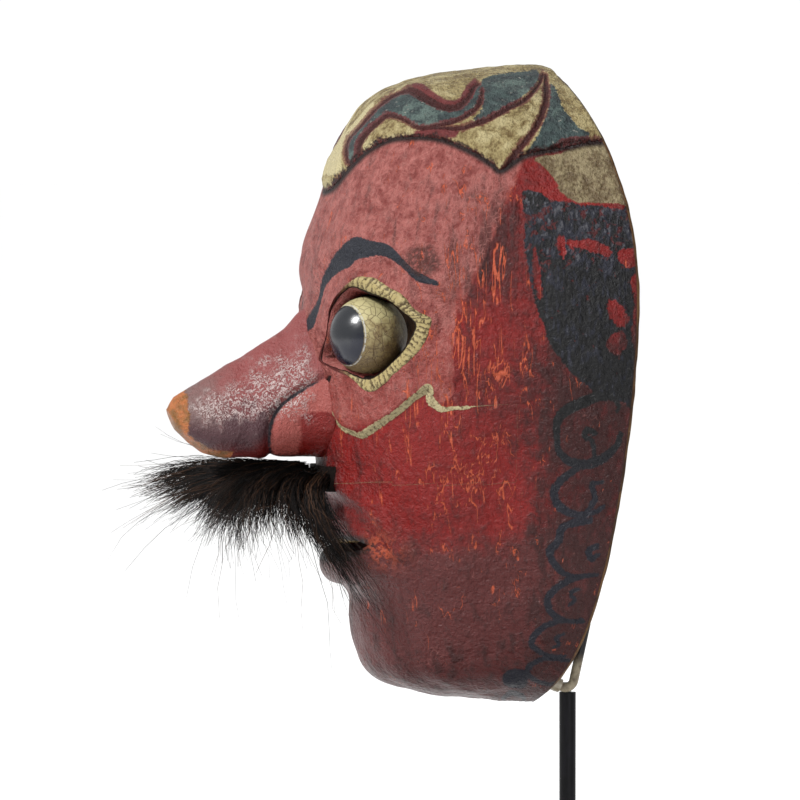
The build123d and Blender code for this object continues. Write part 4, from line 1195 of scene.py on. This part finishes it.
# faces between the rings of a tube, with the places' numbers and those of their neighbours round it
def tubeWalls(rings, columns):
    number = np.arange(rings * columns).reshape(rings, columns)
    wrapped = np.roll(number, -1, 1)
    faces = np.stack([number[:-1], wrapped[:-1], wrapped[1:], number[1:]], axis=-1)
    return faces.reshape(-1, 4).tolist(), number, wrapped


# egg-shaped upright sections between a top and a bottom line, closed at both ends
def makeNose():
    rows, columns = nose["rows"], nose["columns"]
    t = np.linspace(0, 1, rows + 1)
    depth = nose["back"] + (nose["tip"] - nose["back"]) * np.sin(t * np.pi / 2) ** 0.9
    line = {k: np.array(nose[k][::-1], float) for k in ("top", "bottom", "half")}
    top, bottom, half = (smoothThrough(line[k], depth) for k in ("top", "bottom", "half"))
    end = np.sqrt(np.clip((depth - nose["tip"]) / 2.2, 0, 1))
    middle = (top + bottom) / 2
    tall = (top - bottom) / 2 * np.where(depth < -117, 0.25 + 0.75 * end, 1)
    angle = 2 * np.pi * np.arange(columns) / columns
    up, across = np.cos(angle)[None, :], np.sin(angle)[None, :]
    x = half[:, None] * across * (1 - 0.34 * up)
    z = middle[:, None] + tall[:, None] * np.sign(up) * np.abs(up) ** 0.92
    y = np.broadcast_to(depth[:, None], x.shape)
    points = np.stack([x, y, z], axis=-1).reshape(-1, 3)
    backEnd = np.array([[0, nose["back"], middle[0]]])
    tipEnd = np.array([[0, nose["tip"] - 0.3, middle[-1]]])
    out = np.stack([across * np.ones((rows + 1, 1)), np.zeros(x.shape), up * np.ones((rows + 1, 1))], axis=-1)
    out = out.reshape(-1, 3)
    out[:, 1] = -rise(-points[:, 1], 112, 121) * 1.2
    out /= np.linalg.norm(out, axis=1, keepdims=True)
    places = drawn(points)
    crease = strokeDistance(places, wingCrease, [(0, .2), (.35, .55), (.7, .5), (1, .3)])
    signed = lineDistance(places, throughPoints(wingCrease), 30.0)[0]
    push = 0.45 * lattice(points, 11.0, 51) + 0.25 * lattice(points, 4.6, 52) + 0.1 * lattice(points, 2.0, 53)
    push -= 0.9 * np.exp(-(np.maximum(crease, -0.6) / 0.9) ** 2)
    push += 0.8 * np.exp(-((signed + 3.5) / 2.6) ** 2) * (signed < 0)
    points = points + out * push[:, None]
    share = (nose["back"] - points[:, 1]) / (nose["back"] - nose["tip"])
    high = (points[:, 2] - np.repeat(bottom, columns)) / np.maximum(np.repeat(top - bottom, columns), 1)
    fields = {"along": share, "high": high, "crease": crease}
    fields["wing"] = np.where(share > 0.55, -30.0, signed)
    fields["cheekRed"] = np.clip(rise(places[:, 0], -84, -76) * rise(90 - places[:, 1], 0, 4), 0, 1)
    # bloom: a band along the upper side, where the pale net is a painted highlight
    bandHigh = np.exp(-((high - 0.62 - 0.15 * (share - 0.5)) / 0.26) ** 2)
    fields["bloom"] = bandHigh * rise(share, 0.05, 0.22) * (1 - 0.8 * rise(share, 0.72, 0.95)) * 0.9
    underside = np.maximum(points[:, 2] - np.repeat(bottom, columns), 0) - 2.0 + 30 * (points[:, 1] > -102)
    fields["bareTip"] = np.minimum(points[:, 1] - nose["tip"] - 5.6, underside)
    points = np.vstack([points, backEnd, tipEnd])
    faces, number, wrapped = tubeWalls(rows + 1, columns)
    first, last = len(points) - 2, len(points) - 1
    faces += [[first, int(b), int(a)] for a, b in zip(number[0], wrapped[0])]
    faces += [[last, int(a), int(b)] for a, b in zip(number[-1], wrapped[-1])]
    ends = {"along": (0, 1), "high": (0.5, 0.5), "bareTip": (30, -5)}
    values = {w: np.concatenate([v, ends.get(w, (0.0, farOff))]) for w, v in fields.items()}
    piece = makePiece("nose_carving", points, faces, "mask", values)
    piece.data.materials.append(nosePaint)
    turnOutward(piece)
    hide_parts("nose")


print("carving the nose")
makeNose()


# teeth
teeth = {"count": 10, "half": 23.0, "low": 48.6, "high": 54.5, "inset": 2.6, "thick": 2.4, "columns": 200,
         "round": 12}


# row of teeth behind the upper lip: a rounded bar along the face, pinched between one tooth and the next
def makeTeeth():
    x = np.linspace(-teeth["half"], teeth["half"], teeth["columns"] + 1)
    gap = np.abs(np.sin(np.pi * teeth["count"] * (x / teeth["half"] + 1) / 2)) ** 0.4
    middle = (teeth["low"] + teeth["high"]) / 2 + 1.0 * (x / teeth["half"]) ** 2
    y = surfaceAt(x, middle) + teeth["inset"] + teeth["thick"] / 2
    angle = 2 * np.pi * np.arange(teeth["round"]) / teeth["round"]
    roundY = np.sign(np.cos(angle)) * np.abs(np.cos(angle)) ** 0.5 * teeth["thick"] / 2
    roundZ = np.sign(np.sin(angle)) * np.abs(np.sin(angle)) ** 0.5 * (teeth["high"] - teeth["low"]) / 2
    across = np.broadcast_to(x[:, None], (len(x), teeth["round"]))
    depth = y[:, None] + roundY[None, :] * (0.55 + 0.45 * gap[:, None])
    height = middle[:, None] + roundZ[None, :] * (0.86 + 0.14 * gap[:, None])
    points = np.stack([across, depth, height], axis=-1).reshape(-1, 3)
    faces, number, _ = tubeWalls(len(x), teeth["round"])
    faces += [number[0].tolist(), number[-1, ::-1].tolist()]
    row = makePiece("teeth_carving", points, faces, "mask")
    row.data.materials.append(toothGold)
    turnOutward(row)
    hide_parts("face_shell")


toothGold = simpleFinish("tooth_gold", tint(186, 150, 84), tint(104, 76, 40), 1.2, 0.42, 0.08, relief=0.4)
makeTeeth()


# moustache
# nearly black hair, brown where the strand's own shade and slow noise are high
def hairFinish():
    f = Finish("horse_hair", roughness=0.5, specular=0.06)
    shade = f.field("shade") + (f.noise(14, 2) - 0.5) * 0.4
    f.feed("Base Color", f.mix(f.above(shade, 0.86, 0.3), tint(14, 10, 9), tint(96, 68, 50)))
    return f.material


hairPaint = hairFinish()
hideFinish = simpleFinish("hair_hide", tint(34, 22, 16), tint(16, 10, 8), 0.8, 0.75, 0.05, relief=0.4)
# guide curves: points, how many hairs follow it, spread in millimetres at the root and at the tip
guides = {
    "left": [
        ([(15, -76, 69), (20, -80, 64), (25, -79, 57), (29, -76, 50), (31, -73, 44)], 500, 2.6, 3.2),
        ([(9, -78, 69), (13, -84, 66), (18, -86, 61), (23, -84, 54)], 800, 3.2, 3.6),
        ([(4, -80, 70), (6, -88, 68), (9, -94, 63), (12, -95, 57)], 1100, 3.6, 3.8),
        ([(1, -80, 70), (1, -90, 69), (1, -98, 66), (2, -104, 61), (3, -106, 57)], 900, 3.4, 3.6),
        ([(12, -77, 67), (19, -81, 61), (26, -79, 52), (31, -72, 42), (33, -66, 32)], 150, 3.0, 4.2),
    ],
    "right": [
        ([(-6, -79, 70), (-12, -90, 70), (-21, -101, 70), (-30, -111, 69), (-38, -119, 66.5)], 800, 3.0, 3.0),
        ([(-3, -80, 70), (-6, -91, 69.5), (-12, -100, 68), (-19, -108, 65.5), (-25, -114, 62)],
         1400, 3.4, 3.2),
        ([(-8, -78, 69), (-16, -88, 68), (-25, -93, 63), (-32, -95, 57), (-36, -94, 50)], 500, 3.4, 3.6),
        ([(-2, -80, 69), (-4, -90, 68), (-8, -98, 65), (-12, -103, 61), (-15, -105, 58)], 1000, 3.4, 3.4),
    ],
}
hair = {"radius": 0.09, "steps": 8, "shortness": 1.5, "thinning": 0.55, "perStray": 30,
        "foremost": -133.0}


# tapered three-sided strands that follow a guide, each with its own offset, length and curl
def strands(curve, amount, rootSpread, tipSpread, lengthRange=(0.45, 1.12), strayness=0.0):
    line = throughPoints(curve, 12)
    length = np.concatenate([[0], np.cumsum(np.linalg.norm(np.diff(line, axis=0), axis=1))])
    steps = hair["steps"]
    end = lengthRange[0] + (lengthRange[1] - lengthRange[0]) * rng.uniform(0, 1, amount) ** hair["shortness"]
    begin = rng.uniform(0.0, 0.25, amount) * np.minimum(end, 1)
    t = begin[:, None] + (end - begin)[:, None] * np.linspace(0, 1, steps + 1)[None, :]
    over = np.maximum(t - 1, 0)
    at = np.clip(t, 0, 1) * length[-1]
    centre = np.stack([np.interp(at, length, line[:, k]) for k in range(3)], axis=-1)
    last = (line[-1] - line[-3]) / np.linalg.norm(line[-1] - line[-3])
    centre = centre + over[..., None] * length[-1] * last
    offset = rng.normal(0, 1, (amount, 3)) * np.array([1, 0.9, 0.8])
    size = np.linalg.norm(offset, axis=1, keepdims=True)
    offset = offset / size * np.minimum(size, 2.0)
    spread = rootSpread * 0.45 + (tipSpread - rootSpread * 0.45) * t[..., None] ** 1.3
    curl = np.clip(rng.normal(0, 1, (amount, 3)), -1.8, 1.8)[:, None, :]
    curl = curl * t[..., None] ** 2.2 * tipSpread * (0.4 + strayness)
    sag = np.stack([np.zeros_like(t), np.zeros_like(t), -(t**2) * rng.uniform(0, 3.0, amount)[:, None]],
                   axis=-1)
    turn = t[..., None] * length[-1] / rng.uniform(7, 16, (amount, 1, 1))
    turn = 2 * np.pi * (turn + rng.uniform(0, 1, (amount, 1, 3)))
    wave = np.sin(turn) * rng.uniform(0.1, 0.8, (amount, 1, 1)) * (0.3 + t[..., None])
    path = centre + offset[:, None, :] * spread + curl + sag + wave
    forward = np.gradient(path, axis=1)
    forward /= np.maximum(np.linalg.norm(forward, axis=-1, keepdims=True), 1e-6)
    across = np.cross(forward, np.array([0.3, 0.2, 1.0]))
    across /= np.maximum(np.linalg.norm(across, axis=-1, keepdims=True), 1e-6)
    third = np.cross(forward, across)
    taper = 1 - hair["thinning"] * np.linspace(0, 1, steps + 1)[None, :] ** 1.5
    radius = hair["radius"] * rng.uniform(0.7, 1.35, amount)[:, None] * taper
    turns = 2 * np.pi * np.arange(3) / 3
    circle = (np.cos(turns)[None, None, :, None] * across[:, :, None, :]
              + np.sin(turns)[None, None, :, None] * third[:, :, None, :])
    return path[:, :, None, :] + radius[..., None, None] * circle  # strand, step, corner, xyz


# four-sided walls between the three corners of neighbouring steps, and a cap at both ends
def tubeFaces(amount, steps, first):
    ring = first + np.arange(amount * (steps + 1) * 3).reshape(amount, steps + 1, 3)
    turned = np.roll(ring, -1, axis=2)
    walls = np.stack([ring[:, :-1], turned[:, :-1], turned[:, 1:], ring[:, 1:]], axis=-1)
    walls = walls.reshape(-1, 4).tolist()
    caps = ring[:, -1, :].reshape(-1, 3).tolist() + ring[:, 0, ::-1].reshape(-1, 3).tolist()
    return walls + caps


# every guide's hairs, and one wider stray for each thirty, kept behind the foremost plane
def makeHair(side):
    allPoints, faces, first = [], [], 0
    for curve, amount, rootSpread, tipSpread in guides[side]:
        tube = strands(curve, amount, rootSpread, tipSpread)
        allPoints.append(tube.reshape(-1, 3))
        faces += tubeFaces(amount, hair["steps"], first)
        first += tube.size // 3
        stray = strands(curve, amount // hair["perStray"], rootSpread, tipSpread * 1.5, (0.8, 1.3), 0.9)
        allPoints.append(stray.reshape(-1, 3))
        faces += tubeFaces(amount // hair["perStray"], hair["steps"], first)
        first += stray.size // 3
    points = np.vstack(allPoints)
    points[:, 1] = np.maximum(points[:, 1], hair["foremost"])
    perHair = 3 * (hair["steps"] + 1)
    shade = np.repeat(rng.uniform(0, 1, len(points) // perHair), perHair)
    piece = makePiece(f"moustache_strands_{side}", points, faces, "mask", {"shade": shade})
    piece.data.materials.append(hairPaint)
    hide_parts(f"moustache_hair_{side}")
    print(side, "hair:", len(faces), "faces")


print("laying the hair")
makeHair("left")
makeHair("right")


# finishes for the carried-over pieces
def dress(node, finish):
    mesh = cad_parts[node].data
    mesh.materials.clear()
    mesh.materials.append(finish)


# pale paint worn onto the wire below a ragged height, dark above it
def creamedWire():
    f = Finish("wire_paint", roughness=0.42, specular=0.1)
    fine, mid = f.noise(0.8, 4), f.noise(3, 3)
    height = f.add("ShaderNodeSeparateXYZ", {}, {0: f.place}, 2)
    top = float(origin[2]) + 0.013
    cream = f.below(height + (mid - 0.5) * 0.006, top, 0.004)
    dark = f.mix(fine, tint(30, 28, 32), tint(58, 54, 56))
    pale = f.mix(f.above(mid, 0.45, 0.3), tint(120, 104, 84), tint(206, 192, 164))
    f.feed("Base Color", f.mix(cream, dark, pale))
    f.bump(fine * 0.15 + mid * 0.1, 0.7)
    return f.material


print("dressing the stand")
blackSteel = simpleFinish("black_steel", tint(30, 28, 36), tint(12, 12, 15), 0.9, 0.36, 0.06, relief=0.06,
                          stretch=(1, 1, 0.2))
powderCoat = simpleFinish("black_powder_coat", tint(30, 30, 32), tint(20, 20, 22), 0.5, 0.55, 0.15,
                          relief=0.12)
brass = simpleFinish("worn_brass", tint(188, 148, 78), tint(110, 82, 40), 0.9, 0.34, 0.5, metallic=1.0,
                     relief=0.05)
felt = simpleFinish("black_felt", tint(40, 40, 42), tint(16, 16, 17), 0.35, 0.95, 0.1, relief=0.5)
sleeve = simpleFinish("cream_sleeve", tint(214, 202, 176), tint(160, 144, 116), 1.4, 0.5, 0.4, relief=0.1)
iron = simpleFinish("old_iron", tint(70, 54, 44), tint(28, 22, 19), 0.6, 0.6, 0.4, metallic=0.6, relief=0.2)
leather = simpleFinish("bite_tab_leather", tint(112, 74, 44), tint(58, 36, 22), 0.9, 0.6, 0.35, relief=0.35)
pegWood = plainWood("peg_wood", tint(150, 112, 72), tint(96, 66, 40), 0.6)
wirePaint = creamedWire()
dress("base_plate", powderCoat)
dress("base_felt", felt)
dress("rod_collar", blackSteel)
dress("thumb_screw", brass)
dress("stand_rod", blackSteel)
dress("back_wire", wirePaint)
dress("side_hook", wirePaint)
for node in ("hook_sleeve_left", "hook_sleeve_right", "wire_tip_sleeve"):
    dress(node, sleeve)
for node in ("moustache_nail_left", "moustache_nail_right", "bite_tab_nail_left", "bite_tab_nail_right"):
    dress(node, iron)
dress("nose_peg", pegWood)
dress("moustache_hide", hideFinish)
dress("bite_tab", leather)


# studio
studio = {"cameraTurn": 80.0, "cameraRise": 1.5, "distance": 3.6, "field": 0.23864,
          "aim": (0.0, -0.0109, 0.186), "sensor": 36.0, "floorHalf": 30.0, "world": 1.04,
          "lights": [("key", (0.62, -1.15, 1.3), 108, 0.3), ("side", (1.7, 0.5, 0.5), 15, 0.7)]}


# floor, lights and camera; the camera's place = aim + distance along its turn and rise
def makeStudio():
    floorMesh = bpy.data.meshes.new("studio_floor")
    h = studio["floorHalf"]
    floorMesh.from_pydata([(-h, -h, 0), (h, -h, 0), (h, h, 0), (-h, h, 0)], [], [(0, 1, 2, 3)])
    floor = bpy.data.objects.new("studio_floor", floorMesh)
    bpy.context.scene.collection.objects.link(floor)
    white = Finish("studio_white", roughness=0.9, specular=0.1)
    white.shader.inputs["Base Color"].default_value = (0.97, 0.97, 0.97, 1)
    floorMesh.materials.append(white.material)

    world = bpy.data.worlds.new("studio")
    bpy.context.scene.world = world
    world.use_nodes = True
    world.node_tree.nodes["Background"].inputs["Color"].default_value = (1, 1, 1, 1)
    world.node_tree.nodes["Background"].inputs["Strength"].default_value = studio["world"]
    for name, place, energy, size in studio["lights"]:
        lamp = bpy.data.lights.new(name, "AREA")
        lamp.energy, lamp.size = energy, size
        holder = bpy.data.objects.new(name, lamp)
        bpy.context.scene.collection.objects.link(holder)
        holder.location = place
        toward = np.array(studio["aim"]) - np.array(place)
        flat = math.hypot(toward[0], toward[1])
        heading = math.atan2(toward[1], toward[0]) - math.pi / 2
        holder.rotation_euler = (math.atan2(flat, -toward[2]), 0, heading)

    camera = bpy.data.cameras.new("camera")
    camera.sensor_width = studio["sensor"]
    camera.lens = studio["sensor"] * studio["distance"] / studio["field"]
    camera.clip_end = 100
    holder = bpy.data.objects.new("camera", camera)
    bpy.context.scene.collection.objects.link(holder)
    turn, up = math.radians(studio["cameraTurn"]), math.radians(studio["cameraRise"])
    away = np.array([math.sin(turn) * math.cos(up), -math.cos(turn) * math.cos(up), math.sin(up)])
    holder.location = np.array(studio["aim"]) + away * studio["distance"]
    holder.rotation_euler = (math.pi / 2 - up, 0, turn)
    bpy.context.scene.camera = holder
    bpy.context.scene.view_settings.view_transform = "Standard"


makeStudio()
print("done")
